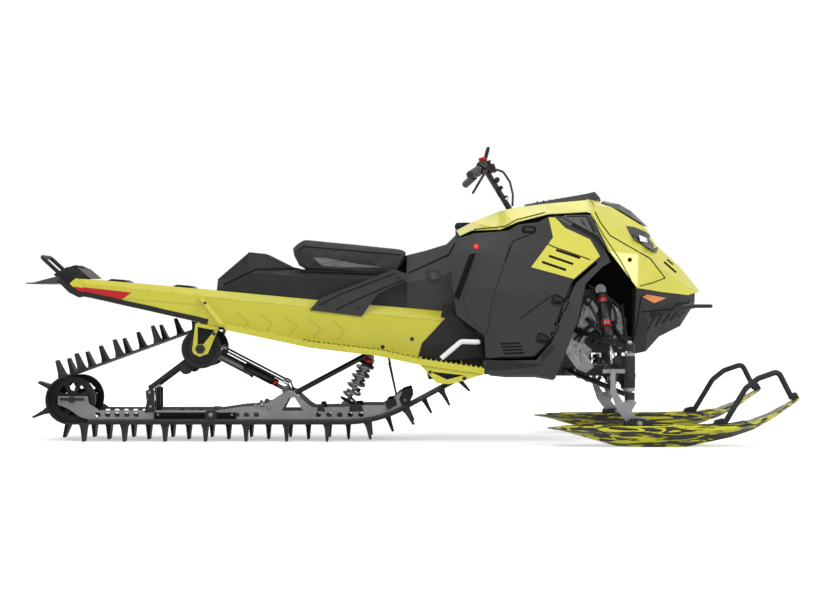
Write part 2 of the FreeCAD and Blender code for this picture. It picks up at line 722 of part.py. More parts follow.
def make_boards():
    """Running boards: a floor beside the tunnel with a deep outer lip."""
    rings = []
    lip_share = 2.1
    lip = S.board_edge * lip_share
    for u, w, wide_share in BOARD_SHARES:
        x, z = tunnel_at(u, w)
        inner = -TUNNEL_Y - S.seat_gap
        outer = -TUNNEL_Y - S.board_width * wide_share
        lip_y = outer + S.board_edge
        rings.append([(x, inner, z), (x, inner, z - S.board_wall), (x, lip_y, z - S.board_wall), (x, lip_y, z - lip),
                      (x, outer, z - lip), (x, outer, z)])
    board = ring_solid(rings)
    node("running_boards", feature("board_right", board), feature("board_left", mirrored(board)))
    return board


def make_braces():
    """Straps from the tunnel to the boards' ends, and the brackets that hold the skid."""
    gap = S.seat_gap
    near = TUNNEL_Y + gap
    bracket_shares = ((0.683, 0.474), (0.62, 0.458), (0.65, 0.352), (0.672, 0.339), (0.688, 0.352), (0.692, 0.366))
    window_shares = ((0.677, 0.458), (0.632, 0.445), (0.6615, 0.39), (0.6775, 0.39))
    bracket = plate("skid_bracket", [[tunnel_at(u, w) for u, w in shares] for shares in (bracket_shares, window_shares)],
                    near, S.board_wall, [(CARRIER[0], CARRIER[1], S.axle_radius + S.seat_gap)])
    strap_low = BOARD_SHARES[0]
    low_x, low_z = tunnel_at(strap_low[0], strap_low[1])
    strap_top_shares = (0.677, 0.576)
    top_x, top_z = tunnel_at(*strap_top_shares)
    wide = S.board_edge * 2
    low_y = -TUNNEL_Y - S.board_width * strap_low[2]
    rings = []
    for x, y, z in ((top_x, -near, top_z), (low_x - wide, low_y, low_z)):
        rings.append([(x, y, z), (x + wide, y, z), (x + wide, y - S.board_wall, z), (x, y - S.board_wall, z)])
    strap = ring_solid(rings)
    hanger_shares = ((0.085, 0.3105), (0.042, 0.24), (0.01, 0.235), (-0.012, 0.242), (-0.082, 0.274))
    opening_shares = ((0.06, 0.285), (0.015, 0.253), (-0.03, 0.27))
    hanger = plate("front_bracket", [[tunnel_at(u, w) for u, w in shares] for shares in (hanger_shares, opening_shares)],
                   TUNNEL_Y + S.board_width - S.board_edge, S.board_wall)
    strap_object = feature("strap_right", strap)
    node("tunnel_brackets", bracket, twin(bracket), strap_object, twin(strap_object), hanger, twin(hanger))


FLAP_END_SHARE = 1.1392


def make_tail():
    """The moulded cap, lamp, grab hoop and snow flap at the rear."""
    cap_shares = ((1.066, 0.668), (1.03, 0.697), (1.002, 0.6945), (0.969, 0.6525), (1.0, 0.652), (1.005, 0.63),
                  (1.006, 0.6), (1.05, 0.64))
    outline = [tunnel_at(u, w) for u, w in cap_shares]
    half = TUNNEL_Y - S.tunnel_bevel
    cap = prism(outline, -half, half)
    node("tail_cap", feature("tail_moulding", cap))
    lamp_shares = ((1.0665, 0.66), (1.067, 0.652), (1.056, 0.645), (1.057, 0.653))
    lamp = [tunnel_at(u, w) for u, w in lamp_shares]
    node("tail_lamp", feature("lamp_lens", prism(lamp, -half / 2, half / 2).cut(cap)))
    hoop = S.hoop_half_width
    base_shares, crown_shares, bend_share = (1.055, 0.669), (1.105, 0.738), 2.5
    base = tunnel_at(*base_shares)
    crown = tunnel_at(*crown_shares)
    route = ((base[0], -hoop, base[1]), (crown[0], -hoop, crown[1]), (crown[0], hoop, crown[1]), (base[0], hoop, base[1]))
    node("grab_hoop", feature("hoop_tube", tube(route, S.hoop_tube, S.hoop_tube * bend_share).cut(cap)))
    rings = []
    flap_shares = ((1.052, 0.6385, 1.0), (FLAP_END_SHARE, 0.634, 0.94))
    for u, w, wide in flap_shares:
        x, z = tunnel_at(u, w)
        y = TUNNEL_Y * wide
        rings.append([(x, -y, z), (x, y, z), (x, y, z - S.flap_thickness), (x, -y, z - S.flap_thickness)])
    node("snow_flap", feature("flap_sheet", seated(ring_solid(rings), cap, (1, 0, 0))))


def make_anchors():
    """Two pairs of accessory anchors on the tunnel's top."""
    pieces = []
    places = (("rear", 0.901), ("front", 0.725))
    rise_share, crest_share, half_share = 0.8, 0.6, 1.9
    for name, u in places:
        x, z = tunnel_top(u)
        block = S.tunnel_bevel
        crest = block * crest_share
        rise = S.board_edge * rise_share
        outline = ((x - block, z + S.seat_gap + slope(u) * block), (x - crest, z + rise + slope(u) * crest),
                   (x + crest, z + rise - slope(u) * crest), (x + block, z + S.seat_gap - slope(u) * block))
        base = prism(outline, -block * half_share, block * half_share)
        normal = V(slope(u), 0, 1)
        foot = V(float(x), 0, float(z)) - normal * float(block)
        holes = [Part.makeCylinder(float(S.anchor_hole), float(block) * 2, foot + V(0, side * float(S.anchor_half), 0),
                                   normal) for side in (-1, 1)]
        base = base.cut(holes)
        pieces.append(feature("anchor_" + name, base))
    node("accessory_anchors", *pieces)


def tunnel_top(u):
    """The tunnel's top surface at a share of its length."""
    for (u1, w1, d1), (u0, w0, d0) in zip(TUNNEL_TOP_SHARES, TUNNEL_TOP_SHARES[1:]):
        if u0 <= u <= u1:
            return tunnel_at(u, w0 + (w1 - w0) * (u - u0) / (u1 - u0))
    return tunnel_at(u, TUNNEL_TOP_SHARES[-1][1])


def slope(u):
    """Fall of the tunnel's top per length forward."""
    step_share = 0.01
    before, after = tunnel_top(u + step_share), tunnel_top(u - step_share)
    return (float(before[1]) - float(after[1])) / (float(after[0]) - float(before[0]))


# Seat and tank

SEAT_FRONT_SHARE = 0.122
FOOT_SHARE = 0.8
BASE_SHARES = ((0.629, 0.649, 0.63), (0.545, 0.757, 0.69), (0.5, 0.75, 0.696), (0.42, 0.69, 0.68),
               (0.19, 0.676, 0.668), (SEAT_FRONT_SHARE, 0.67, 0.662))
CUSHION_SHARES = ((0.43, 0.77, 0.7), (0.4, 0.8, 0.692), (0.25, 0.784, 0.686), (0.16, 0.769, 0.683),
                  (SEAT_FRONT_SHARE, 0.76, 0.69))
TANK_SHARES = ((None, 0.63, 0.745, 0.62), (-0.1, 0.65, 0.765, 0.64), (-0.02, 0.67, 0.79, 0.66),
               (0.02, 0.7, 0.83, 0.7), (0.2, 0.8, 0.846, 0.66))


def make_seat():
    """The hard seat base along the tunnel and the soft cushion on it."""
    narrow_share, crown_share = 0.9, 0.8
    wide = TUNNEL_Y * FOOT_SHARE
    narrow = S.cushion_half_width * narrow_share
    rings = []
    for u, top, mid in BASE_SHARES:
        x, z_top = tunnel_at(u, top)
        z_mid = S.body_height * mid
        low = tunnel_top(u)[1] + S.seat_gap
        rings.append([(x, -wide, low), (x, -wide, z_mid - S.tunnel_bevel / 2), (x, -narrow, z_top), (x, narrow, z_top),
                      (x, wide, z_mid - S.tunnel_bevel / 2), (x, wide, low)])
    node("seat_base", feature("seat_moulding", ring_solid(rings)))
    rings = []
    half = S.cushion_half_width
    for u, top, low in CUSHION_SHARES:
        x, z_top = tunnel_at(u, top)
        z_low = S.body_height * low
        rings.append([(x, -half, z_low), (x, -half, z_top - S.tunnel_bevel / 2), (x, -half * crown_share, z_top),
                      (x, half * crown_share, z_top), (x, half, z_top - S.tunnel_bevel / 2), (x, half, z_low)])
    node("seat_cushion", feature("cushion_pad", ring_solid(rings)))


def make_tank():
    """The fuel tank's moulded cover between the rider's knees, with its cap."""
    rings = []
    rear_x = tunnel_at(SEAT_FRONT_SHARE, 0)[0] + S.seat_gap
    knee_share, crown_share, radius_share = 1.35, 0.6, 0.8
    for u, knee, top, wide in TANK_SHARES:
        x = rear_x if u is None else S.firewall_x + S.nose_length * u
        low_y, knee_y, top_y = TUNNEL_Y * FOOT_SHARE, TUNNEL_Y * wide * knee_share, TUNNEL_Y * wide * crown_share
        z_low = tunnel_top((S.firewall_x - x) / S.tunnel_length)[1] + S.seat_gap
        z_knee, z_top = S.body_height * knee, S.body_height * top
        rings.append([(x, -low_y, z_low), (x, -knee_y, z_knee), (x, -top_y, z_top), (x, top_y, z_top),
                      (x, knee_y, z_knee), (x, low_y, z_low)])
    tank = ring_solid(rings)
    node("fuel_tank", feature("tank_cover", tank))
    cap_shares = (0.052, 0.83)
    x, z = nose_at(*cap_shares)
    radius = S.tunnel_bevel * radius_share
    cap = Part.makeCylinder(float(radius), float(S.tunnel_bevel), V(float(x), 0, float(z)), V(0, 0, 1))
    node("fuel_cap", feature("cap", cap.cut(tank)))


def make_struts():
    """Side struts from tunnel to tank."""
    strut_shares = ((0.379, 0.525), (0.353, 0.571), (0.154, 0.687), (0.118, 0.668), (0.124, 0.643), (0.198, 0.587),
                    (0.241, 0.5))
    strut = plate("side_strut", [[tunnel_at(u, w) for u, w in strut_shares]], TUNNEL_Y + S.seat_gap, S.board_wall * 2)
    node("side_struts", strut, twin(strut))


# Steering head

COLUMN_FOOT_SHARES = (0.29, 0.848)
COLUMN_HEAD_SHARES = (0.1381, 1.0976)
COLUMN_FOOT = nose_at(*COLUMN_FOOT_SHARES)
COLUMN_HEAD = nose_at(*COLUMN_HEAD_SHARES)


def column_point(share):
    """A point of the steering axis, from its bearing at nought to the handlebar at one."""
    return tuple(foot + (head - foot) * share for foot, head in zip(COLUMN_FOOT, COLUMN_HEAD))


def make_steering():
    """Handlebar, riser, grips and controls, all turning about the column."""
    low, high = column_point(0), column_point(1)
    column = rod((low[0], 0, low[1]), (high[0], 0, high[1]), S.column_radius)
    plate_share, start_share, leg_share = 1.4, 0.45, 0.8
    plate_half = S.column_radius * plate_share
    start = column_point(start_share)
    riser = [rod((start[0], side * plate_half, start[1]), (high[0], side * plate_half, high[1]),
                 S.column_radius * leg_share) for side in (-1, 1)]
    column = joined([column] + riser)
    node("steering_column", feature("column", column))
    centre_share, sweep_share, drop_share = 0.3, 0.2, 0.16
    half = S.bar_half_width
    length = math.hypot(COLUMN_HEAD[0] - COLUMN_FOOT[0], COLUMN_HEAD[1] - COLUMN_FOOT[1])
    bar_x, bar_z = column_point(1 + (S.bar_tube + S.seat_gap) / length)
    end_x, end_z = bar_x - half * sweep_share, bar_z - half * drop_share
    bend_y = half * centre_share
    route = ((end_x, -half, end_z), (bar_x, -bend_y, bar_z), (bar_x, bend_y, bar_z), (end_x, half, end_z))
    bar = tube(route, S.bar_tube, S.bar_tube * 5)
    node("handlebar", feature("bar", bar))
    grips = []
    for side in (-1, 1):
        start_share = 1 - float(S.grip_length) / float(half) / (1 - centre_share)
        inner = (bar_x + (end_x - bar_x) * start_share, side * (bend_y + (half - bend_y) * start_share),
                 bar_z + (end_z - bar_z) * start_share)
        outer = rod(inner, (end_x, side * half, end_z), S.grip_radius)
        core = rod(inner, (end_x, side * half, end_z), S.bar_tube)
        grips.append(feature("grip_%s" % ("right" if side < 0 else "left"), outer.cut(core)))
    node("grips", *grips)
    lift_share, loop_share = 0.22, 0.15
    loop_y = half * loop_share
    loop_top = bar_z + S.bar_tube + half * lift_share
    lean_share, loop_tube_share, loop_bend_share = 0.05, 0.7, 1.6
    lean = half * lean_share
    loop = tube(((bar_x, -loop_y, bar_z + S.bar_tube * 2), (bar_x + lean, -loop_y, loop_top),
                 (bar_x + lean, loop_y, loop_top), (bar_x, loop_y, bar_z + S.bar_tube * 2)),
                S.bar_tube * loop_tube_share, S.bar_tube * loop_bend_share)
    gap = S.bar_tube + S.seat_gap
    pod_shares, pod_half_share = ((1, 1), (4, 1), (5, -2), (2, -2.5)), 0.8
    pod = prism([(bar_x + gap * u, bar_z + gap * w) for u, w in pod_shares], -loop_y * pod_half_share,
                loop_y * pod_half_share).cut(column)
    pieces = [feature("grab_loop", seated(loop, bar, (0, 0, -1))), feature("gauge_pod", pod)]
    clamp_shares, lever_end_shares, lever_share = (0.2, 0.3), (0.09, 0.86, 0.12), 0.5
    lever_root_shares, link_root_shares, link_end_shares, link_share = (1.3, 0.7), (1.2, 0.4), (1.6, 0.8), 0.7
    for side in (-1, 1):
        along = [(end_x - bar_x), side * (half - bend_y), (end_z - bar_z)]
        start, stop = [(bar_x + along[0] * share, side * bend_y + along[1] * share, bar_z + along[2] * share)
                       for share in clamp_shares]
        far_x, far_z = end_x + half * lever_end_shares[0], end_z - half * lever_end_shares[2]
        clamp = rod(start, stop, S.grip_radius)
        clamp = clamp.cut(rod(start, stop, S.bar_tube + S.kingpin_fit))
        root_y = start[1] + side * S.grip_radius
        lever = rod((start[0] + S.grip_radius * lever_root_shares[0], root_y, start[2] - S.grip_radius * lever_root_shares[1]),
                    (far_x, side * half * lever_end_shares[1], far_z), S.bar_tube * lever_share)
        link = rod((start[0] + S.bar_tube * link_root_shares[0], root_y, start[2] - S.bar_tube * link_root_shares[1]),
                   (start[0] + S.grip_radius * link_end_shares[0], root_y, start[2] - S.grip_radius * link_end_shares[1]),
                   S.bar_tube * link_share)
        pieces.append(feature("lever_%s" % ("right" if side < 0 else "left"), joined([clamp, link, lever])))
    node("bar_controls", *pieces)
    cables = []
    cable_shares, cable_share = ((5.2, 1), (8, 2), (10.6, 6), (11.8, 11), (11.6, 15.5)), 0.4
    for side in (-1, 1):
        y = side * S.bar_tube
        route = [(bar_x + gap * u, y, bar_z - gap * w) for u, w in cable_shares]
        cable = seated(tube(route, S.bar_tube * cable_share, gap * 2), pod, (-1, 0, 0))
        cables.append(feature("cable_%s" % ("right" if side < 0 else "left"), cable))
    node("control_cables", *cables)


# Bodywork

def side_rows(points_rows):
    """Rows of points of the right-hand flank, from shares of the side view."""
    rows = []
    for row in points_rows:
        line = []
        for u, w in row:
            x, z = nose_at(u, w)
            line.append((x, -flank(x, z), z))
        rows.append(line)
    return rows


PANEL_SHARES = (
    ((0.018, 0.503), (0.0, 0.62), (-0.005, 0.75), (0.025, 0.808)),
    ((0.125, 0.425), (0.1, 0.6), (0.08, 0.75), (0.085, 0.828)),
    ((0.13, 0.338), (0.135, 0.6), (0.13, 0.75), (0.15, 0.832)),
    ((0.23, 0.338), (0.225, 0.6), (0.21, 0.75), (0.22, 0.838)),
    ((0.32, 0.342), (0.31, 0.6), (0.28, 0.75), (0.26, 0.862)),
    ((0.38, 0.402), (0.37, 0.6), (0.35, 0.75), (0.34, 0.872)),
    ((0.45, 0.58), (0.44, 0.66), (0.42, 0.78), (0.38, 0.894)),
    ((0.472, 0.64), (0.48, 0.7), (0.47, 0.79), (0.41, 0.89)),
    ((0.588, 0.738), (0.58, 0.757), (0.57, 0.78), (0.55, 0.81)),
)


HINGE_FOOT_SHARES = (0.3835, 0.3993)
HINGE_HEAD_SHARES = (0.4535, 0.5775)
HINGE_SHARES = (0.28, 0.8)


def hinge_point(share):
    """A point of the right panel's hinge line, from its lower end to its upper one."""
    (x0, z0), (x1, z1) = nose_at(*HINGE_FOOT_SHARES), nose_at(*HINGE_HEAD_SHARES)
    return V(float(x0) + float(x1 - x0) * share, -float(S.hinge_half), float(z0) + float(z1 - z0) * share)


def hinge_parts(share):
    """One hinge: the panel's barrel, the frame's pin and its two ends, and the room round the barrel."""
    line = (hinge_point(1) - hinge_point(0)).normalize()
    middle = hinge_point(share)
    half = float(S.hinge_length) / 2
    radius, gap = float(S.hinge_radius), float(S.joint_gap)

    def part_rod(start, end, size):
        return rod(tuple(middle + line * start), tuple(middle + line * end), size)

    barrel = part_rod(-half, half, radius)
    pin = part_rod(-half - gap * 2, half + gap * 2, radius / 2)
    ends = [part_rod(way * (half + gap), way * (half + gap + radius), radius) for way in (-1, 1)]
    room = part_rod(-half - gap, half + gap, radius + gap)
    return barrel, pin, ends, room


def make_side_panels():
    """The hinged side panels, a sheet each with two barrels on its hinge line."""
    shape = sheet_solid(side_rows(PANEL_SHARES), -S.panel_wall)
    for share in HINGE_SHARES:
        barrel, pin, ends, room = hinge_parts(share)
        line = (hinge_point(1) - hinge_point(0)).normalize()
        middle, reach = hinge_point(share), float(S.hinge_length) / 2
        bore = rod(tuple(middle - line * reach), tuple(middle + line * reach), S.hinge_radius / 2 + S.kingpin_fit)
        clear = [rod(tuple(middle + line * way * reach), tuple(middle + line * way * reach * 2),
                     S.hinge_radius + S.joint_gap) for way in (-1, 1)]
        shape = joined([shape.cut(clear), barrel]).cut(bore)
    panel = feature("panel_right", shape)
    node("side_panel_right", panel)
    node("side_panel_left", twin(panel))


def make_arch_frames(board):
    """The mouldings below and ahead of the side panels, round the suspension's arch."""
    rows = (((0.122, 0.275), (0.122, 0.328)), ((0.21, 0.27), (0.21, 0.328)), ((0.325, 0.274), (0.325, 0.33)),
            ((0.4, 0.256), (0.3868, 0.399)), ((0.435, 0.342), (0.4067, 0.45)), ((0.49, 0.49), (0.4567, 0.577)),
            ((0.52, 0.627), (0.482, 0.63)), ((0.6, 0.705), (0.595, 0.728)))
    shape = sheet_solid(side_rows(rows), -S.board_edge).cut(board)
    lugs = []
    for share in HINGE_SHARES:
        barrel, pin, ends, room = hinge_parts(share)
        shape = shape.cut(room)
        lugs += [pin] + ends
    shape = joined([shape] + lugs)
    frame = feature("arch_right", shape)
    node("arch_frames", frame, twin(frame))
    foot = (((-0.012, 0.512), (-0.002, 0.518)), ((-0.065, 0.452), (0.015, 0.5)), ((-0.12, 0.393), (0.06, 0.455)),
            ((-0.134, 0.343), (0.118, 0.418)), ((-0.03, 0.325), (0.122, 0.335)))
    rows = []
    for row in foot:
        rows.append([(nose_at(u, w)[0], -TUNNEL_Y - S.seat_gap, nose_at(u, w)[1]) for u, w in row])
    cover = feature("foot_cover", sheet_solid(rows, -S.panel_wall))
    node("foot_covers", cover, twin(cover))
    return shape


def make_toe_holds():
    """The bent tube over each foot well."""
    out_share, bend_share, hold_shares = 0.85, 2.2, ((-0.045, 0.336), (0.033, 0.402), (0.1, 0.4))
    y = -TUNNEL_Y - S.board_width * out_share
    points = [nose_at(u, w) for u, w in hold_shares]
    route = [(x, y, z) for x, z in points]
    route.append((route[-1][0], -TUNNEL_Y - S.panel_wall - S.seat_gap * 2, route[-1][2]))
    hold = feature("hold_right", tube(route, S.toe_tube, S.toe_tube * bend_share))
    node("toe_holds", hold, twin(hold))


def make_cowl():
    """The upper cowl's two halves beside the steering well."""
    lower = ((0.03, 0.818), (0.078, 0.84), (0.19, 0.843), (0.256, 0.872), (0.38, 0.904), (0.54, 0.913))
    upper = ((0.02, 0.841), (0.083, 0.875), (0.19, 0.917), (0.25, 0.932), (0.38, 0.948), (0.545, 0.963))
    ridge_share, brow_share = 0.4, 0.2
    rows = []
    for (u0, w0), (u1, w1) in zip(lower, upper):
        x0, z0 = nose_at(u0, w0)
        x1, z1 = nose_at(u1, w1)
        ridge = S.body_half_width * ridge_share
        rows.append(((x0, -flank(x0, z0), z0), (x1, -ridge, z1), (x1, -S.body_half_width * brow_share, z1)))
    half = feature("cowl_right", sheet_solid(rows, -S.panel_wall))
    node("top_cowl", half, twin(half))
    rings = []
    vent_shares = ((0.3, 0.952, 0.944, 0.19), (0.545, 0.994, 0.967, 0.28), (0.578, 1.002, 0.966, 0.3),
                   (0.6, 0.977, 0.963, 0.3))
    crown_share = 0.7
    for u, top, low, wide in vent_shares:
        x = S.firewall_x + S.nose_length * u
        half_wide = S.body_half_width * wide
        z_top, z_low = S.body_height * top, S.body_height * low
        rings.append([(x, -half_wide, z_low), (x, -half_wide * crown_share, z_top), (x, half_wide * crown_share, z_top),
                      (x, half_wide, z_low)])
    node("hood_vent", feature("vent", ring_solid(rings)))


HOOD_SHARES = (
    ((0.547, 0.904, 0.76), (0.565, 0.94, 0.6), (0.56, 0.962, 0.38), (0.56, 0.964, 0)),
    ((0.618, 0.755, 0.83), (0.632, 0.85, 0.7), (0.639, 0.936, 0.36), (0.645, 0.94, 0)),
    ((0.728, 0.612, 0.79), (0.736, 0.745, 0.69), (0.777, 0.853, 0.33), (0.785, 0.857, 0)),
    ((0.836, 0.596, 0.58), (0.827, 0.69, 0.56), (0.817, 0.789, 0.27), (0.82, 0.793, 0)),
    ((0.948, 0.584, 0.33), (0.936, 0.627, 0.31), (0.918, 0.7, 0.17), (0.92, 0.703, 0)),
    ((0.995, 0.596, 0.16), (1.0, 0.602, 0.12), (1.0, 0.607, 0.07), (1.0, 0.609, 0)),
)


def make_hood():
    """The front hood and the dark screen on it."""
    rows = []
    for row in HOOD_SHARES:
        rows.append([(nose_at(u, w)[0], -S.body_half_width * y, nose_at(u, w)[1]) for u, w, y in row])
    hood = sheet_solid(both_sides(rows), -S.panel_wall)
    node("hood", feature("hood_shell", hood))
    rows = []
    screen_shares = ((0.614, 0.967, 0.956, 0.3), (0.676, 0.953, 0.926, 0.33), (0.723, 0.926, 0.898, 0.32),
                     (0.785, 0.868, 0.862, 0.3))
    crown_share = 0.6
    for u, w, low, wide in screen_shares:
        x = S.firewall_x + S.nose_length * u
        y = S.body_half_width * wide
        rows.append(((x, -y, S.body_height * low), (x, -y * crown_share, S.body_height * w), (x, 0, S.body_height * w)))
    screen = seated(sheet_solid(both_sides(rows), -S.panel_wall), hood, (0, 0, -1))
    node("windscreen", feature("screen", screen))
    return hood


NOSE_SHARES = (
    (0.727, 0.332, 0.455, 0.606, 0.26, 0.55, 0.76), (0.782, 0.344, 0.473, 0.598, 0.26, 0.55, 0.68),
    (0.835, 0.403, 0.509, 0.59, 0.26, 0.49, 0.57), (0.925, 0.446, 0.527, 0.58, 0.17, 0.32, 0.36),
    (0.985, 0.536, 0.55, 0.587, 0.09, 0.13, 0.15))


def make_nose(hood):
    """The dark lower nose, its rim against the hood's."""
    rings = []
    for u, low, mid, top, low_y, mid_y, top_y in NOSE_SHARES:
        x = S.firewall_x + S.nose_length * u
        points = [(S.body_half_width * low_y, low), (S.body_half_width * mid_y, mid), (S.body_half_width * top_y, top)]
        ring = [(x, -y, S.body_height * w) for y, w in points]
        ring += [(x, y, S.body_height * w) for y, w in reversed(points)]
        rings.append(ring)
    nose = seated(ring_solid(rings), hood, (0, 0, 1))
    node("nose_bumper", feature("nose", nose))
    return nose


def surface_y(shape, x, z):
    """Y at which a line from the right first meets a shape."""
    line = Part.makeLine(V(float(x), -float(S.ski_stance), float(z)), V(float(x), 0, float(z)))
    return min(vertex.Y for vertex in shape.common(line).Vertexes)


def seated_lens(shape, outline, near_share):
    """A thin lens whose corners rest on a shape at an outline of the side view."""
    corners = [nose_at(u, w) for u, w in outline]
    rings = []
    for off in (S.seat_gap, S.seat_gap + S.lens_wall * near_share):
        rings.append([(x, surface_y(shape, x, z) - off, z) for x, z in corners])
    lens = ring_solid(rings).translated(V(0, -float(S.tunnel_bevel), 0))
    return seated(lens, shape, (0, 1, 0))


def make_details(hood, nose):
    """Headlamps, the dark vents behind the hood, the side reflectors and the bumper bar."""
    lamp_shares = ((0.72, 0.826), (0.745, 0.806), (0.795, 0.782), (0.815, 0.755), (0.765, 0.785), (0.725, 0.805))
    lamp = feature("lamp_right", seated_lens(hood, lamp_shares, 2))
    node("headlamps", lamp, twin(lamp))
    rows = (((0.42, 0.894), (0.427, 0.9)), ((0.458, 0.872), (0.472, 0.901)), ((0.557, 0.818), (0.54, 0.902)),
            ((0.598, 0.752), (0.606, 0.757)))
    vent_shape = seated(sheet_solid(side_rows(rows), -S.panel_wall), hood, (1, 0, 0))
    vent = feature("vent_right", vent_shape)
    node("quarter_vents", vent, twin(vent))
    reflector_shares = ((0.752, 0.578), (0.772, 0.587), (0.855, 0.573), (0.803, 0.552))
    reflector = feature("reflector_right", seated_lens(nose, reflector_shares, 1))
    node("side_reflectors", reflector, twin(reflector))
    gap_share = 1.15
    gap = S.bumper_tube + S.seat_gap
    shares = ((0.78, 0.5, 0.5), (0.835, 0.512, 0.56), (0.925, 0.53, 0.4), (0.985, 0.54, 0.24), (1.05, 0.54, 0.14))
    right = [(S.firewall_x + S.nose_length * u, -S.body_half_width * y - gap * gap_share, S.body_height * w)
             for u, w, y in shares]
    left = [(x, -y, z) for x, y, z in reversed(right)]
    node("bumper_bar", feature("bar_tube", tube(right + left, S.bumper_tube, S.bumper_tube * 2).cut(nose)))


FRAME_BACK_SHARE = 0.42
PIVOT_SHARE = 1.25
ENGINE_LOW_SHARES = (0.205, 0.36)
ENGINE_TOP_SHARE = 0.65
ENGINE_HALF_SHARE = 0.58
ENGINE_BROW_SHARE = 0.93
FRAME_SHARES = ((FRAME_BACK_SHARE, 0.26), (0.7, 0.26), (0.7, 0.42), (0.62, 0.61), (FRAME_BACK_SHARE, 0.61))
STRUT_FOOT_SHARES = (0.5, 0.6)
STRUT_INSET_SHARE = 0.6
BEARING_SHARE = 0.02
BEAM_SHARES = (-0.1, 0.44, 0.4, 0.44)
REST_SHARES = (0.68, 0.375, 0.42)
POST_SHARES = (0.45, 0.6, 0.9574)
POST_TUBE_SHARE = 0.8
TIE_ROOM_SHARES = (0.3015, 0.3525)


def make_engine():
    """The engine as one plain block, and the front frame that carries it, the arms and the steering."""
    low_x, low_z = nose_at(*ENGINE_LOW_SHARES)
    high_x, high_z = nose_at(FRAME_BACK_SHARE, ENGINE_TOP_SHARE)
    high_x = high_x - S.seat_gap
    half = S.body_half_width * ENGINE_HALF_SHARE
    outline = ((low_x, low_z), (high_x, low_z), (high_x, high_z * ENGINE_BROW_SHARE), (high_x - S.engine_step, high_z),
               (low_x, high_z))
    node("engine_block", feature("engine", prism(outline, -half, half)))
    inset = S.arm_inset - S.arm_tube * PIVOT_SHARE - S.seat_gap
    frame = prism([nose_at(u, w) for u, w in FRAME_SHARES], -inset, inset)
    floor, roof = [S.body_height * share for share in TIE_ROOM_SHARES]
    back, front = TIE_X - S.eye_height, KINGPIN_X + S.steer_arm
    room = prism(((back, floor), (front, floor), (front, roof), (back, roof)), -inset, inset)
    low, high = nose_at(*STRUT_FOOT_SHARES), column_point(BEARING_SHARE)
    struts = [rod((low[0], side * inset * STRUT_INSET_SHARE, low[1]), (high[0], side * S.column_radius * 2, high[1]),
                  S.arm_tube) for side in (-1, 1)]
    along = V(float(COLUMN_HEAD[0] - COLUMN_FOOT[0]), 0, float(COLUMN_HEAD[1] - COLUMN_FOOT[1]))
    bearing = Part.makeCylinder(float(S.column_radius) * 3, float(S.column_radius) * 3,
                                V(float(high[0]), 0, float(high[1])), along)
    beam_far = TUNNEL_Y - S.tunnel_wall - S.seat_gap
    beam_near = beam_far - S.board_edge
    beam_back, beam_front, beam_low, beam_high = BEAM_SHARES
    beam_outline = (nose_at(beam_back, beam_low), nose_at(beam_front, beam_low), nose_at(beam_front, beam_high),
                    nose_at(beam_back, beam_high))
    beams = [prism(beam_outline, side * beam_near, side * beam_far) for side in (-1, 1)]
    wall = prism((nose_at(FRAME_BACK_SHARE, beam_low), nose_at(beam_front, beam_low), nose_at(beam_front, beam_high),
                  nose_at(FRAME_BACK_SHARE, beam_high)), -beam_far, beam_far)
    bore = rod((COLUMN_FOOT[0], 0, COLUMN_FOOT[1]), (COLUMN_HEAD[0], 0, COLUMN_HEAD[1]), S.column_radius + S.kingpin_fit)
    rest_back, rest_low, rest_high = REST_SHARES
    rest_x = nose_at(NOSE_SHARES[0][0], 0)[0] - S.seat_gap
    rest = prism((nose_at(rest_back, rest_low), (rest_x, S.body_height * rest_low), (rest_x, S.body_height * rest_high),
                  nose_at(rest_back, rest_high)), -inset, inset)
    post_u, post_foot, post_head = POST_SHARES
    post_x, post_low = nose_at(post_u, post_foot)
    post_top = S.body_height * post_head - S.seat_gap
    posts = [rod((post_x, side * S.post_half, post_low), (post_x, side * S.post_half, post_top),
                 S.arm_tube * POST_TUBE_SHARE) for side in (-1, 1)]
    pin = rod((KINGPIN_X, 0, floor), (KINGPIN_X, 0, roof), S.kingpin_radius)
    frame = joined([frame.cut(room), bearing, wall, pin, rest] + posts + beams + struts).cut(bore)
    node("front_frame", feature("bulkhead", frame))


def make_belly_pan(arch):
    """The pan that closes the engine bay from below, ahead of the track."""
    rows = []
    pan_shares, rim_share, floor_share = ((0.15, 0.268), (0.21, 0.262), (0.325, 0.262), (0.4, 0.25)), 1.6, 0.8
    for u, w in pan_shares:
        x, z = nose_at(u, w)
        edge_z = z + S.board_edge * rim_share
        rows.append(((x, -flank(x, edge_z) - S.board_edge / 2, edge_z), (x, -flank(x, z) * floor_share, z), (x, 0, z)))
    pan = sheet_solid(both_sides(rows), S.panel_wall)
    node("belly_pan", feature("pan", pan.cut([arch, mirrored(arch)])))


# Front suspension and skis

DAMPER_SHARES = ((0.59, 1.7, 0.607), (0.637, 2.99, 0.264))
ARM_SHARES = ((0.28, (0.47, 0.655)), (0.46, (0.45, 0.64)))


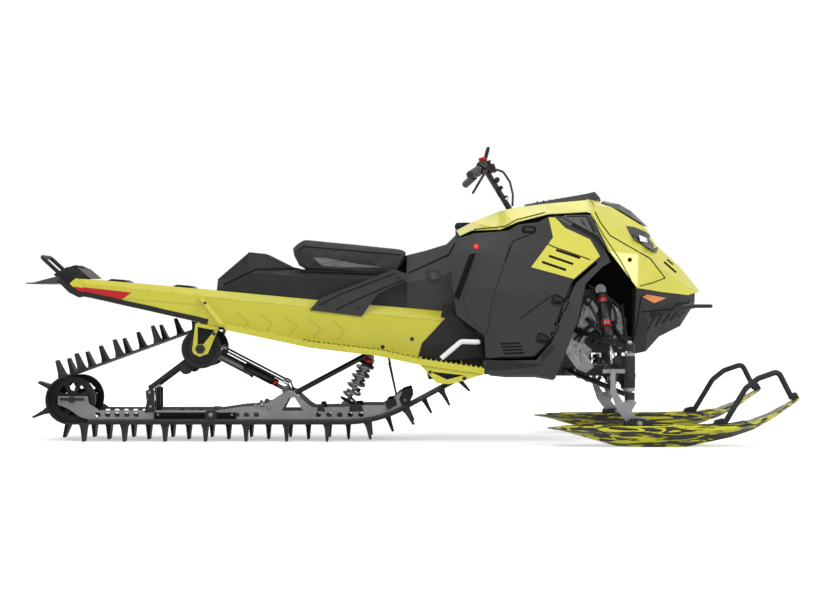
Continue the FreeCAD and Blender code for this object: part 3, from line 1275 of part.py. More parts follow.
def make_front_arms():
    """Upper and lower A-arms, each with an eye round the kingpin, and the dampers."""
    arms = []
    damper_top, damper_low = [V(float(S.firewall_x + S.nose_length * u), -float(S.arm_inset) * y, float(S.body_height) * w)
                              for u, y, w in DAMPER_SHARES]
    lug_share = 0.8
    damper_radius = S.arm_tube * 2
    damper_shape = shock(tuple(damper_top), tuple(damper_low), damper_radius, False)
    for rise, (low_share, feet) in zip((S.lower_eye_rise, S.upper_eye_rise), ARM_SHARES):
        base = V(float(KINGPIN_X), -float(KINGPIN_Y), float(rise) - float(S.eye_height) / 2)
        pieces = [Part.makeCylinder(float(S.kingpin_radius + S.eye_wall), float(S.eye_height), base)]
        bore = Part.makeCylinder(float(S.kingpin_radius + S.kingpin_fit), float(S.eye_height), base)
        for u in feet:
            x, z = nose_at(u, low_share)
            pieces.append(rod((x, -S.arm_inset, z), (KINGPIN_X, -KINGPIN_Y, rise), S.arm_tube))
            pieces.append(rod((x - S.arm_tube * 2, -S.arm_inset, z), (x + S.arm_tube * 2, -S.arm_inset, z),
                              S.arm_tube * PIVOT_SHARE))
        if rise is S.lower_eye_rise:
            x, z = nose_at(feet[0], low_share)
            share = (float(KINGPIN_Y) + damper_low.y) / (float(KINGPIN_Y) - float(S.arm_inset))
            foot = (KINGPIN_X + (x - KINGPIN_X) * share, damper_low.y, rise + (z - rise) * share)
            tip = damper_low - V(0, 0, float(damper_radius) * EYE_SHARE + float(S.seat_gap))
            pieces.append(rod(foot, tuple(tip), S.arm_tube * lug_share))
        clear = S.kingpin_radius + S.eye_wall + S.joint_gap
        rooms = [rod((KINGPIN_X, -KINGPIN_Y, rise + way * S.eye_height / 2),
                     (KINGPIN_X, -KINGPIN_Y, rise + way * S.eye_height * 2), clear) for way in (-1, 1)]
        arms.append(joined(pieces).cut([bore, damper_shape] + rooms))
    right = [feature("arm_lower", arms[0]), feature("arm_upper", arms[1])]
    node("suspension_links", *(right + [twin(arm) for arm in right]))
    damper = feature("damper_right", damper_shape)
    node("front_shocks", damper, twin(damper))




TIE_EYE_SHARE = 0.5
TIE_PIN_SHARE = 0.6
TIE_ROD_SHARE = 0.8
TIE_WALL_SHARE = 0.6


def tie_rod(side, inner_z):
    """A tie rod with an eye on the knuckle's pin and one on the pitman's."""
    eye_height = S.eye_height * TIE_EYE_SHARE
    radius = S.tie_tube + S.eye_wall * TIE_WALL_SHARE
    outer_y = side * KINGPIN_Y
    pieces = [rod((TIE_X, outer_y, TIE_EYE_Z), (TIE_X, 0, inner_z), S.tie_tube * TIE_ROD_SHARE)]
    bores = []
    for y, z in ((outer_y, TIE_EYE_Z), (0, inner_z)):
        pieces.append(rod((TIE_X, y, z - eye_height / 2), (TIE_X, y, z + eye_height / 2), radius))
        bores.append(rod((TIE_X, y, z - eye_height / 2), (TIE_X, y, z + eye_height / 2),
                         S.tie_tube * TIE_PIN_SHARE + S.kingpin_fit))
    return joined(pieces).cut(bores)


def make_steering_linkage():
    """The pitman arm on its pin and the two tie rods stacked on it."""
    eye_height = S.eye_height * TIE_EYE_SHARE
    plate_z = S.body_height * sum(TIE_ROOM_SHARES) / 2
    thick = S.tie_tube
    radius = S.kingpin_radius + S.eye_wall
    hub_share = 1.5
    hub = rod((KINGPIN_X, 0, plate_z - thick * hub_share), (KINGPIN_X, 0, plate_z + thick * hub_share), radius)
    arm = prism(((KINGPIN_X, plate_z - thick / 2), (TIE_X - S.tie_tube, plate_z - thick / 2),
                 (TIE_X - S.tie_tube, plate_z + thick / 2), (KINGPIN_X, plate_z + thick / 2)), -thick, thick)
    reach = thick / 2 + S.seat_gap + eye_height
    pin = rod((TIE_X, 0, plate_z - reach), (TIE_X, 0, plate_z + reach), S.tie_tube * TIE_PIN_SHARE)
    bore = rod((KINGPIN_X, 0, plate_z - thick * 2), (KINGPIN_X, 0, plate_z + thick * 2),
               S.kingpin_radius + S.kingpin_fit)
    node("pitman_arm", feature("pitman", joined([hub, arm, pin]).cut(bore)))
    offset = thick / 2 + S.seat_gap + eye_height / 2
    node("tie_rod_right", feature("tie_right", tie_rod(-1, plate_z - offset)))
    node("tie_rod_left", feature("tie_left", tie_rod(1, plate_z + offset)))


SKI_SHARES = (
    (0.0, 0.95, 0.9, 0.5), (0.047, 0.97, 0.82, 0.62), (0.12, 0.99, 0.6, 0.84), (0.274, 1.0, 0.06, 1.0),
    (0.36, 1.0, 0.0, 1.0), (0.545, 1.0, 0.0, 1.0), (0.73, 1.08, 0.5, 0.96), (0.815, 1.28, 0.86, 0.86),
    (0.89, 1.65, 1.35, 0.72), (1.0, 2.46, 2.3, 0.3))
SKI_TIP_SHARE = 1.33
SKI_TIP_X = S.firewall_x + S.nose_length * SKI_TIP_SHARE


def ski_x(share):
    """X of a share of the ski's length from its rear end."""
    return SKI_TIP_X - S.ski_length * (1 - share)


def make_ski():
    """A ski with a keel, its loop and the leg on which it turns."""
    y_mid = -S.ski_stance / 2
    rings = []
    for u, deck, keel, wide in SKI_SHARES:
        x = ski_x(u)
        half = S.ski_width * wide / 2
        keel_half = S.keel_width * wide / 2
        z_deck, z_keel = S.ski_depth * deck, S.ski_depth * keel
        edge_z = z_deck - S.ski_edge * (deck - keel if deck - keel < 1 else 1)
        rings.append([(x, y_mid - half, z_deck), (x, y_mid - half, edge_z), (x, y_mid - keel_half, z_keel),
                      (x, y_mid + keel_half, z_keel), (x, y_mid + half, edge_z), (x, y_mid + half, z_deck)])
    ski = feature("ski_blade", ring_solid(rings))
    node("ski_right", ski)
    node("ski_left", twin(ski))
    shares = ((0.7, 1.05), (0.79, 2.9), (0.84, 3.4), (0.92, 3.75), (0.975, 2.4))
    route = [(ski_x(u), y_mid, S.ski_depth * v) for u, v in shares]
    loop = feature("loop_tube", tube(route, S.loop_radius, S.loop_radius * 2).cut(ski.Shape))
    node("ski_loop_right", loop)
    node("ski_loop_left", twin(loop))


SPINDLE_SHARES = (
    (0.78, 0.47), (0.7, 0.56), (0.22, 0.6), (0.06, 0.71), (0.27, 0.89), (-0.3, 0.89), (-0.56, 1.09), (-0.62, 1.3),
    (-0.6, 1.54), (-0.8, 1.54), (-0.8, 1.12), (-0.55, 0.74), (-0.18, 0.5))
BLADE_SHARES = (0.4, 1.4)


def make_spindle():
    """The kingpin between the arms' eyes with its steering arm, leg and saddle."""
    x, y = KINGPIN_X, -KINGPIN_Y
    low = S.lower_eye_rise - S.eye_height / 2 - S.joint_gap
    high = S.upper_eye_rise + S.eye_height / 2 + S.joint_gap
    pin = rod((x, y, low), (x, y, high), S.kingpin_radius)
    shoulder = S.kingpin_radius + S.eye_wall
    between_low = S.lower_eye_rise + S.eye_height / 2 + S.joint_gap
    between_high = S.upper_eye_rise - S.eye_height / 2 - S.joint_gap
    sleeve = rod((x, y, between_low), (x, y, between_high), shoulder)
    thick_share = 0.8
    eye_half = S.eye_height * TIE_EYE_SHARE / 2
    arm_top = TIE_EYE_Z - eye_half - S.seat_gap
    arm_low = arm_top - shoulder * thick_share
    arm = prism(((x, arm_low), (x, arm_top), (TIE_X - shoulder / 2, arm_top), (TIE_X - shoulder / 2, arm_low)),
                y - shoulder / 2, y + shoulder / 2)
    tie_pin = rod((TIE_X, y, arm_low), (TIE_X, y, TIE_EYE_Z + eye_half), S.tie_tube * TIE_PIN_SHARE)
    foot = rod((x, y, low - S.eye_height / 2), (x, y, low + S.joint_gap - S.seat_gap), shoulder)
    saddle_z = S.ski_depth + S.seat_gap
    blade_near, blade_far = y - shoulder * BLADE_SHARES[0], y - shoulder * BLADE_SHARES[1]
    outline = [(x + S.steer_arm * u, S.lower_eye_rise * w) for u, w in SPINDLE_SHARES]
    foot_back, foot_front = outline[-1][0], outline[0][0]
    blade = prism(outline + [(foot_back, saddle_z), (foot_front, saddle_z)], blade_near, blade_far)
    saddle = prism(((foot_back, saddle_z), (foot_front, saddle_z), (foot_front, saddle_z + S.eye_wall),
                    (foot_back, saddle_z + S.eye_wall)), -S.ski_stance / 2 - S.keel_width / 2,
                   -S.ski_stance / 2 + S.keel_width / 2)
    spindle = feature("knuckle", joined([pin, sleeve, arm, tie_pin, foot, blade, saddle]))
    node("spindle_right", spindle)
    node("spindle_left", twin(spindle))


node("track", feature("track_belt", make_track()))
make_wheels()
make_drive_axle()
make_rails()
make_skid_arms()
make_skid_shocks()
make_tunnel()
BOARD = make_boards()
make_braces()
make_tail()
make_anchors()
make_seat()
make_tank()
make_struts()
make_steering()
make_side_panels()
ARCH = make_arch_frames(BOARD)
make_toe_holds()
make_cowl()
HOOD = make_hood()
make_details(HOOD, make_nose(HOOD))
make_engine()
make_belly_pan(ARCH)
make_steering_linkage()
make_front_arms()
make_ski()
make_spindle()

DOC.recompute()
for item in DOC.Objects:
    if "Invalid" in item.State or "Error" in item.State:
        raise RuntimeError("%s did not build" % item.Label)
os.makedirs("parts", exist_ok=True)
for label, item in NODES.items():
    if item.Shape.isNull() or not item.Shape.isValid() or item.Shape.Volume <= 0:
        raise RuntimeError("%s is not a valid solid" % label)
for label, item in NODES.items():
    item.Shape.exportStep("parts/%s.step" % label)
print("%d sub-parts" % len(NODES))
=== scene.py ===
"""The looks of the snowmobile: materials, soft seat, trim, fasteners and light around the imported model.

Lengths are metres, in the model's own frame: +X forward, +Y the rider's left, +Z up, the snow at zero.
Pixels are those of the photograph, which shows the machine's right side. OUTLINES and ROUTES hold them under
the names of the pieces that they belong to; the left side is the mirror image.
"""
import bmesh
import bpy
import math
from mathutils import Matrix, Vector, noise
from mathutils.bvhtree import BVHTree


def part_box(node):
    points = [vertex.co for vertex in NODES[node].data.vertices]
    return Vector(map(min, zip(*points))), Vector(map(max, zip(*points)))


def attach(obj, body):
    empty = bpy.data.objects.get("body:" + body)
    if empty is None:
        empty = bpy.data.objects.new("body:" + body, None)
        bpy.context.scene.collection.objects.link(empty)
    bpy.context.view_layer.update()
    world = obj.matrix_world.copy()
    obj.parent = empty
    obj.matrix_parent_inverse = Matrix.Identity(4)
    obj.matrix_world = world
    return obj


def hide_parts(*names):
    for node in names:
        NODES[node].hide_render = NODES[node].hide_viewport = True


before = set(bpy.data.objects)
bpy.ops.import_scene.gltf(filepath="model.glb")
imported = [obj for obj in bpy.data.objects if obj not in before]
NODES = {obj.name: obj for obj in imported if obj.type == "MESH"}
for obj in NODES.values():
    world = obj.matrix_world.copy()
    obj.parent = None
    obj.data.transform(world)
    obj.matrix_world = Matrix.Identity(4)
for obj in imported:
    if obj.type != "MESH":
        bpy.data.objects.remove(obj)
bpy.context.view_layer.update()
SCENE = bpy.context.scene
UP = Vector((0, 0, 1))
DOWN = Vector((0, 0, -1))
SIDES = (("right", -1), ("left", 1))
CHASSIS = ("chassis", "chassis")
PANEL_BODIES = ("right_panel", "left_panel")
SKI_BODIES = ("right_ski", "left_ski")


# The camera, the floor and the light

PHOTO = (823, 597)
CENTRE = (PHOTO[0] / 2, PHOTO[1] / 2)
FOCUS = 2011.0  # in pixels of the photograph
DISTANCE = 9.0
EYE = Vector((0.0225, -DISTANCE, 0.628))
SENSOR = 36
WHITE = (1, 1, 1)
SKY = (0.96, 0.98, 1.0)
SKY_POWER = 0.5
LIGHTS = {  # place, diameter and power
    "key": ((-1.8, -4.2, 5.2), 3.2, 150),
    "fill": ((4.6, -4.0, 2.6), 2.6, 120),
    "top": ((0.2, 1.4, 5.6), 4.0, 60),
    "back": ((-4.5, 4.0, 3.0), 3.0, 80),
}
LIGHT_AIM = Vector((0, 0, 0.5))
FLOOR_REACH = 120
FLOOR_COLOUR = (0.82, 0.82, 0.82)
FLOOR_GLOW = {"From Min": 1.4, "From Max": 4.5, "To Min": 0.5, "To Max": 0.8}


def placed(name, data, place=(0, 0, 0)):
    """A new object in the scene."""
    obj = bpy.data.objects.new(name, data)
    obj.location = place
    SCENE.collection.objects.link(obj)
    return obj


def fill(tree, socket, value):
    """A socket joined to another node's output, or set to a value; a colour's alpha may be left out."""
    if isinstance(value, bpy.types.NodeSocket):
        tree.links.new(value, socket)
    elif socket.type == "RGBA":
        socket.default_value = (*value, 1)
    else:
        socket.default_value = value


def add_node(tree, kind, inputs=None, **settings):
    """A shader node with its settings and its inputs, each a value or another node's output."""
    node = tree.nodes.new("ShaderNode" + kind)
    for key, value in settings.items():
        setattr(node, key, value)
    for key, value in (inputs or {}).items():
        fill(tree, node.inputs[key], value)
    return node


def empty_tree(holder):
    """The cleared shader tree of a world or a material."""
    holder.use_nodes = True
    holder.node_tree.nodes.clear()
    return holder.node_tree


def camera_or_mirror(tree):
    """One for rays that the camera, a mirror or a pane sees, otherwise nought."""
    path = add_node(tree, "LightPath")
    total = path.outputs["Is Camera Ray"]
    for name in ("Is Glossy Ray", "Is Transmission Ray"):
        total = add_node(tree, "Math", {0: total, 1: path.outputs[name]}, operation="MAXIMUM").outputs[0]
    return total


def make_world():
    """A white surround for the camera that lights the scene more softly than it looks."""
    SCENE.world = bpy.data.worlds.new("studio")
    tree = empty_tree(SCENE.world)
    soft = add_node(tree, "Background", {0: SKY, 1: SKY_POWER})
    seen = add_node(tree, "Background", {0: WHITE, 1: 1.0})
    mix = add_node(tree, "MixShader", {0: camera_or_mirror(tree), 1: soft.outputs[0], 2: seen.outputs[0]})
    add_node(tree, "OutputWorld", {0: mix.outputs[0]})


def make_floor():
    """A white floor that glows for the camera, more so away from the machine."""
    mesh = bpy.data.meshes.new("floor")
    corners = ((-1, -1), (1, -1), (1, 1), (-1, 1))
    mesh.from_pydata([(x * FLOOR_REACH, y * FLOOR_REACH, 0) for x, y in corners], [], [(0, 1, 2, 3)])
    floor = placed("floor", mesh)
    material = bpy.data.materials.new("floor_white")
    tree = empty_tree(material)
    place = add_node(tree, "TexCoord").outputs["Object"]
    away = add_node(tree, "VectorMath", {0: place}, operation="LENGTH").outputs["Value"]
    fade = add_node(tree, "MapRange", {**FLOOR_GLOW, "Value": away})
    shine = add_node(tree, "Math", {0: camera_or_mirror(tree), 1: fade.outputs[0]}, operation="MULTIPLY")
    paint = add_node(tree, "BsdfDiffuse", {0: FLOOR_COLOUR})
    glow = add_node(tree, "Emission", {0: WHITE, 1: shine.outputs[0]})
    both = add_node(tree, "AddShader", {0: paint.outputs[0], 1: glow.outputs[0]})
    add_node(tree, "OutputMaterial", {0: both.outputs[0]})
    mesh.materials.append(material)


def make_stage():
    """A level camera at the photograph's place, soft studio light and the floor."""
    camera = placed("view_camera", bpy.data.cameras.new("view_camera"), EYE)
    camera.data.sensor_width = SENSOR
    camera.data.lens = FOCUS / PHOTO[0] * SENSOR
    camera.rotation_euler = (math.radians(90), 0, 0)
    SCENE.camera = camera
    SCENE.view_settings.view_transform = "Standard"
    make_world()
    for name, (place, size, power) in LIGHTS.items():
        lamp = bpy.data.lights.new(name, "AREA")
        lamp.shape, lamp.size, lamp.energy = "DISK", size, power
        aim = LIGHT_AIM - Vector(place)
        placed(name, lamp, place).rotation_euler = aim.to_track_quat("-Z", "Y").to_euler()
    make_floor()


# Materials

COAT_ROUGH = 0.12
GRAIN_DEPTH = 0.001
ROUGH_DRIFT = 0.07
EDGE_TURN = (0.985, 0.86)  # how far a corner's softened direction leaves its own where wear starts and is full
DIRT_HEIGHT = (0.45, 0.05)  # where dirt starts and where it is full
WEAR_PATCHES = (70, 5, 0.42, 0.62)  # a noise's scale and detail, and the values between which it counts
DIRT_SPOTS = (28, 6, 0.45, 0.7)


def surface(label, colour, rough, metal, mirror, coat, radius, spread, spread_scale, grain, grain_scale,
            edge=None, edge_amount=0, dirt=0, dirt_colour=None):
    """A finish with colour drift, fine grain, worn edges, dirt low down and softened corners."""
    material = bpy.data.materials.new(label)
    material.use_nodes = True
    tree = material.node_tree
    place = add_node(tree, "TexCoord").outputs["Object"]

    def wave(scale, detail):
        return add_node(tree, "TexNoise", {"Scale": scale, "Detail": detail, "Vector": place}).outputs[0]

    def ramp(value, low, high, first, last):
        limits = {"From Min": low, "From Max": high, "To Min": first, "To Max": last}
        return add_node(tree, "MapRange", {**limits, "Value": value}).outputs[0]

    def patches(scale, detail, low, high, first=0, last=1):
        return ramp(wave(scale, detail), low, high, first, last)

    def product(first, second):
        return add_node(tree, "Math", {0: first, 1: second}, operation="MULTIPLY").outputs[0]

    def mixed(factor, first, second):
        return add_node(tree, "Mix", {0: factor, 6: first, 7: second}, data_type="RGBA").outputs[2]

    light = tuple(min(1, c * (1 + spread)) for c in colour)
    dark = tuple(c * (1 - spread) for c in colour)
    shade = mixed(patches(spread_scale, 3, 0.3, 0.7), dark, light)
    bevel = add_node(tree, "Bevel", {"Radius": radius}, samples=4).outputs[0]
    if edge:
        normal = add_node(tree, "NewGeometry").outputs["Normal"]
        turn = add_node(tree, "VectorMath", {0: bevel, 1: normal}, operation="DOT_PRODUCT").outputs["Value"]
        shade = mixed(product(ramp(turn, *EDGE_TURN, 0, edge_amount), patches(*WEAR_PATCHES)), shade, edge)
    if dirt:
        height = add_node(tree, "SeparateXYZ", {0: place}).outputs[2]
        shade = mixed(product(ramp(height, *DIRT_HEIGHT, 0, dirt), patches(*DIRT_SPOTS)), shade, dirt_colour)
    drift = patches(spread_scale * 3, 4, 0.25, 0.75, max(0.03, rough - ROUGH_DRIFT), min(1, rough + ROUGH_DRIFT))
    bump = add_node(tree, "Bump", {"Strength": grain, "Distance": GRAIN_DEPTH, "Height": wave(grain_scale, 2),
                                   "Normal": bevel})
    skin = tree.nodes["Principled BSDF"]
    for key, value in (("Base Color", shade), ("Roughness", drift), ("Metallic", metal),
                       ("Specular IOR Level", mirror), ("Coat Weight", coat), ("Coat Roughness", COAT_ROUGH),
                       ("Normal", bump.outputs[0])):
        fill(tree, skin.inputs[key], value)
    return material


SPLATTER = (0.014, 0.015, 0.012)
SPLATTER_SCALE = (4.5, 30, 34)
SPLATTER_TURN = (0, 0, 0.35)
SPLATTER_EDGE = (0.455, 0.485)


def add_splatter(material):
    """A loose dark splatter of its own making over a finish."""
    tree = material.node_tree
    base = tree.nodes["Principled BSDF"].inputs["Base Color"]
    place = add_node(tree, "TexCoord").outputs["Object"]
    stretch = add_node(tree, "Mapping", {0: place, "Scale": SPLATTER_SCALE, "Rotation": SPLATTER_TURN})
    blots = add_node(tree, "TexNoise", {0: stretch.outputs[0], "Scale": 1.0, "Detail": 7, "Distortion": 1.6})
    edge = add_node(tree, "ValToRGB", {0: blots.outputs[0]})
    for stop, position, level in zip(edge.color_ramp.elements, SPLATTER_EDGE, (0, 1)):
        stop.position = position
        stop.color = (level, level, level, 1)
    mix = add_node(tree, "Mix", {0: edge.outputs[0], 6: base.links[0].from_socket, 7: SPLATTER}, data_type="RGBA")
    fill(tree, base, mix.outputs[2])


def grey(level):
    """A neutral colour."""
    return (level, level, level)


# Label, colour and roughness; metal, mirror and coat; corner radius; drift of the colour and its scale; grain and
# its scale; then, where there are any, worn edges' colour and amount, and dirt's amount and colour.
LOOKS = {
    "paint": ("yellow_paint", (0.64, 0.6, 0.06), 0.3, 0, 0.5, 0.5, 0.004, 0.05, 2.5, 0.015, 300),
    "tunnel": ("tunnel_paint", (0.56, 0.52, 0.03), 0.36, 0, 0.5, 0.25, 0.0015, 0.06, 3, 0.03, 420,
               (0.5, 0.5, 0.42), 0.35),
    "panel": ("dark_panel", (0.031, 0.0302, 0.031), 0.46, 0, 0.25, 0, 0.004, 0.1, 4, 0.1, 1400, grey(0.1), 0.3),
    "grey": ("grey_moulding", (0.1, 0.097, 0.098), 0.5, 0, 0.3, 0, 0.003, 0.1, 8, 0.12, 1100, grey(0.2), 0.3),
    "plastic": ("black_plastic", (0.019, 0.019, 0.02), 0.5, 0, 0.17, 0, 0.002, 0.14, 9, 0.14, 1100,
                grey(0.11), 0.4),
    "coat": ("black_coat", (0.014, 0.014, 0.015), 0.38, 0.15, 0.3, 0, 0.0012, 0.2, 14, 0.07, 1500,
             (0.28, 0.28, 0.29), 0.6),
    "rubber": ("track_rubber", (0.018, 0.018, 0.019), 0.66, 0, 0.25, 0, 0.002, 0.25, 18, 0.3, 700, grey(0.1), 0.5,
               0.25, (0.1, 0.1, 0.105)),
    "flap": ("flap_rubber", (0.05, 0.05, 0.052), 0.55, 0, 0.3, 0, 0.0015, 0.2, 12, 0.2, 500, grey(0.15), 0.4),
    "rail": ("rail_aluminium", (0.2, 0.2, 0.21), 0.4, 0.75, 0.5, 0, 0.001, 0.16, 10, 0.1, 600, grey(0.5), 0.5),
    "alloy": ("cast_alloy", (0.24, 0.24, 0.25), 0.44, 0.55, 0.5, 0, 0.003, 0.12, 12, 0.22, 500,
              (0.55, 0.55, 0.56), 0.5),
    "steel": ("bright_steel", (0.55, 0.55, 0.56), 0.25, 0.95, 0.5, 0, 0.0008, 0.08, 25, 0.04, 900),
    "spring": ("spring_wire", (0.42, 0.42, 0.43), 0.35, 0.3, 0.5, 0, 0.001, 0.08, 25, 0.04, 900),
    "foil": ("heat_foil", (0.3, 0.3, 0.31), 0.38, 0.75, 0.5, 0, 0.0015, 0.2, 30, 0.7, 90),
    "red": ("red_anodised", (0.42, 0.01, 0.012), 0.3, 0.5, 0.5, 0, 0.001, 0.1, 30, 0.03, 900, (0.7, 0.4, 0.4), 0.3),
    "shock": ("shock_body", (0.16, 0.16, 0.165), 0.34, 0.7, 0.5, 0, 0.001, 0.1, 20, 0.05, 900, grey(0.5), 0.4),
    "seat": ("seat_vinyl", (0.026, 0.026, 0.027), 0.6, 0, 0.22, 0, 0.002, 0.16, 7, 0.55, 420),
    "grip_cloth": ("grip_cloth", (0.14, 0.14, 0.142), 0.75, 0, 0.5, 0, 0.0015, 0.4, 160, 0.9, 330),
    "slide": ("slide_plastic", (0.028, 0.028, 0.03), 0.4, 0, 0.5, 0, 0.0015, 0.15, 20, 0.1, 900, grey(0.12), 0.4),
    "white": ("white_tube", grey(0.82), 0.42, 0, 0.5, 0, 0.0015, 0.04, 6, 0.06, 500, grey(0.55), 0.3),
    "amber": ("amber_lens", (0.72, 0.2, 0.01), 0.14, 0, 0.5, 0.8, 0.0015, 0.08, 60, 0.25, 260),
    "red_lens": ("red_lens", (0.35, 0.012, 0.012), 0.16, 0, 0.5, 0.8, 0.0015, 0.1, 60, 0.25, 260),
    "lamp": ("lamp_lens", (0.8, 0.82, 0.86), 0.08, 0, 0.5, 1, 0.0015, 0.1, 120, 0.3, 160),
    "screen": ("screen_gloss", (0.018, 0.018, 0.02), 0.24, 0, 0.35, 0.6, 0.003, 0.1, 5, 0.02, 900, grey(0.12), 0.3),
    "grip": ("grip_rubber", (0.024, 0.024, 0.025), 0.7, 0, 0.5, 0, 0.0015, 0.2, 30, 0.5, 500),
    "engine": ("engine_cast", (0.07, 0.07, 0.072), 0.6, 0.3, 0.5, 0, 0.0015, 0.25, 12, 0.4, 240),
    "cable": ("cable_sheath", (0.02, 0.02, 0.021), 0.45, 0, 0.5, 0, 0.0015, 0.15, 60, 0.2, 900),
    "red_stripe": ("red_stripe", (0.5, 0.008, 0.01), 0.36, 0, 0.3, 0.1, 0.0015, 0.06, 6, 0.02, 900),
    # seam_shadow is near-black: the dark of real seams, joints and print, and painted shade in creases, folds,
    # recesses, holes and gaps
    "seam": ("seam_shadow", grey(0.009), 0.8, 0, 0.05, 0, 0.0015, 0.2, 40, 0.1, 900),
    "ski": ("ski_splatter", (0.6, 0.58, 0.02), 0.4, 0, 0.3, 0.05, 0.003, 0.12, 6, 0.06, 900),
}
FINISHES = {name: surface(*look) for name, look in LOOKS.items()}
add_splatter(FINISHES["ski"])

NODE_FINISHES = {  # every node that isn't named here is black plastic
    "paint": "hood top_cowl",
    "tunnel": "running_boards tunnel tunnel_brackets",
    "panel": "arch_frames fuel_tank hood_vent nose_bumper side_panel_left side_panel_right side_struts",
    "grey": "quarter_vents",
    "coat": "drive_axle front_frame handlebar pitman_arm steering_column suspension_arms suspension_links "
            "tie_rod_left tie_rod_right",
    "rubber": "ski_loop_left ski_loop_right track",
    "flap": "snow_flap",
    "rail": "slide_rails",
    "alloy": "spindle_left spindle_right",
    "shock": "front_shocks skid_shocks",
    "seat": "seat_cushion",
    "slide": "slides",
    "white": "toe_holds",
    "amber": "side_reflectors",
    "red_lens": "tail_lamp",
    "screen": "headlamps windscreen",
    "grip": "grips",
    "engine": "engine_block",
    "cable": "control_cables",
    "ski": "ski_left ski_right",
}


def dress_nodes():
    """The finish of each CAD node."""
    chosen = {name: finish for finish, names in NODE_FINISHES.items() for name in names.split()}
    for name, node in NODES.items():
        finish = FINISHES[chosen.get(name, "plastic")]
        if not node.material_slots:
            node.data.materials.append(finish)
        for slot in node.material_slots:
            slot.material = finish


# Pieces, and parts of them: a part is a list of points and a list of faces

def smooth_faces(mesh):
    """The mesh shaded smooth."""
    for face in mesh.polygons:
        face.use_smooth = True


def piece(name, mesh, finish, body, smooth=False):
    """A finished piece that rides on a body."""
    obj = placed(name, mesh)
    mesh.materials.clear()
    mesh.materials.append(FINISHES[finish])
    if smooth:
        smooth_faces(mesh)
    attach(obj, body)
    return obj


def made(name, parts, finish, body="chassis", smooth=False):
    """One piece from its parts."""
    verts, faces = [], []
    for part_verts, part_faces in parts:
        start = len(verts)
        verts += [tuple(v) for v in part_verts]
        faces += [tuple(i + start for i in face) for face in part_faces]
    mesh = bpy.data.meshes.new(name)
    mesh.from_pydata(verts, [], faces)
    mesh.validate()
    piece(name, mesh, finish, body, smooth)


def flipped(part):
    """The same part on the other side of the centre plane."""
    verts, faces = part
    return [(v[0], -v[1], v[2]) for v in verts], [tuple(reversed(face)) for face in faces]


def on_both(name, parts, finish, bodies=CHASSIS, smooth=False):
    """The parts as a piece on the right, and their mirror image as one on the left."""
    made(name + "_right", parts, finish, bodies[0], smooth)
    made(name + "_left", [flipped(part) for part in parts], finish, bodies[1], smooth)


def tube_faces(rows, around):
    """The faces between rings of points, then the first end and the last end."""
    faces = []
    for i in range(rows - 1):
        for k in range(around):
            n = (k + 1) % around
            faces.append((i * around + k, i * around + n, (i + 1) * around + n, (i + 1) * around + k))
    return faces + [tuple(reversed(range(around))), tuple((rows - 1) * around + k for k in range(around))]


def heading_at(points, i):
    """The direction of a line of points at one of them."""
    return (points[min(i + 1, len(points) - 1)] - points[max(i - 1, 0)]).normalized()


def across(heading, spare):
    """A level direction across a heading, or one across the spare axis where the heading is upright."""
    side = heading.cross(UP)
    return (side if side.length >= 0.1 else heading.cross(Vector(spare))).normalized()


def swept(path, radius, around=8):
    """A tube along points, its section kept from twisting."""
    points = [Vector(p) for p in path]
    verts, side = [], None
    for i, point in enumerate(points):
        heading = heading_at(points, i)
        side = (side - heading * side.dot(heading)).normalized() if side else across(heading, (0, 1, 0))
        up = heading.cross(side)
        for k in range(around):
            a = 2 * math.pi * k / around
            verts.append(point + side * math.cos(a) * radius + up * math.sin(a) * radius)
    return verts, tube_faces(len(points), around)


def smooth_path(points, steps):
    """Points of a smooth curve through the given ones."""
    pts = [Vector(p) for p in points]
    pts = [pts[0] * 2 - pts[1]] + pts + [pts[-1] * 2 - pts[-2]]
    out = []
    for a, b, c, d in zip(pts, pts[1:], pts[2:], pts[3:]):
        for s in range(steps):
            t = s / steps
            out.append(0.5 * ((2 * b) + (c - a) * t + (2 * a - 5 * b + 4 * c - d) * t * t
                              + (3 * b - a - 3 * c + d) * t * t * t))
    return out + [pts[-2]]


def coil(start, end, radius, wire, turns, steps=14):
    """A wire wound round the line from one point to another."""
    along = end - start
    heading = along.normalized()
    side = heading.cross(Vector((0, 1, 0))).normalized()
    up = heading.cross(side)
    path = []
    for i in range(turns * steps + 1):
        a = 2 * math.pi * i / steps
        path.append(start + along * (i / (turns * steps)) + (side * math.cos(a) + up * math.sin(a)) * radius)
    return swept(path, wire, 6)


def turned(start, end, profile, around=20):
    """A body turned about an axis from its profile of share along it and radius."""
    start, end = Vector(start), Vector(end)
    along = end - start
    heading = along.normalized()
    side = across(heading, (1, 0, 0))
    up = heading.cross(side)
    verts = []
    for share, radius in profile:
        for k in range(around):
            a = 2 * math.pi * k / around
            verts.append(start + along * share + (side * math.cos(a) + up * math.sin(a)) * radius)
    return verts, tube_faces(len(profile), around)


def rod(start, end, radius, around):
    """A plain round rod."""
    return turned(start, end, ((0, radius), (1, radius)), around)


def drum(start, end, radius, drop, share, around):
    """A drum whose radius drops at both ends, over a share of its length."""
    ends = radius - drop
    return turned(start, end, ((0, ends), (share, radius), (1 - share, radius), (1, ends)), around)


def knob(start, end, radius, tip, share, around):
    """A round or many-sided head that narrows past a share of its height."""
    return turned(start, end, ((0, radius), (share, radius), (1, tip)), around)


def bolt(place, way, radius, height):
    """A bolt's head with a washer under it."""
    start = Vector(place)
    end = start + Vector(way).normalized() * height
    return [knob(start, start + (end - start) * 0.25, radius * 1.5, radius * 1.35, 0.8, 16),
            turned(start, end, ((0.2, radius), (0.85, radius), (1, radius * 0.8)), 6)]


def between(start, end, share):
    """The point at a share of the way from one point to another."""
    return Vector(start) + (Vector(end) - Vector(start)) * share


def stretch(line, first, last, shift=(0, 0, 0)):
    """Two points at shares of a line, both shifted."""
    return between(*line, first) + Vector(shift), between(*line, last) + Vector(shift)


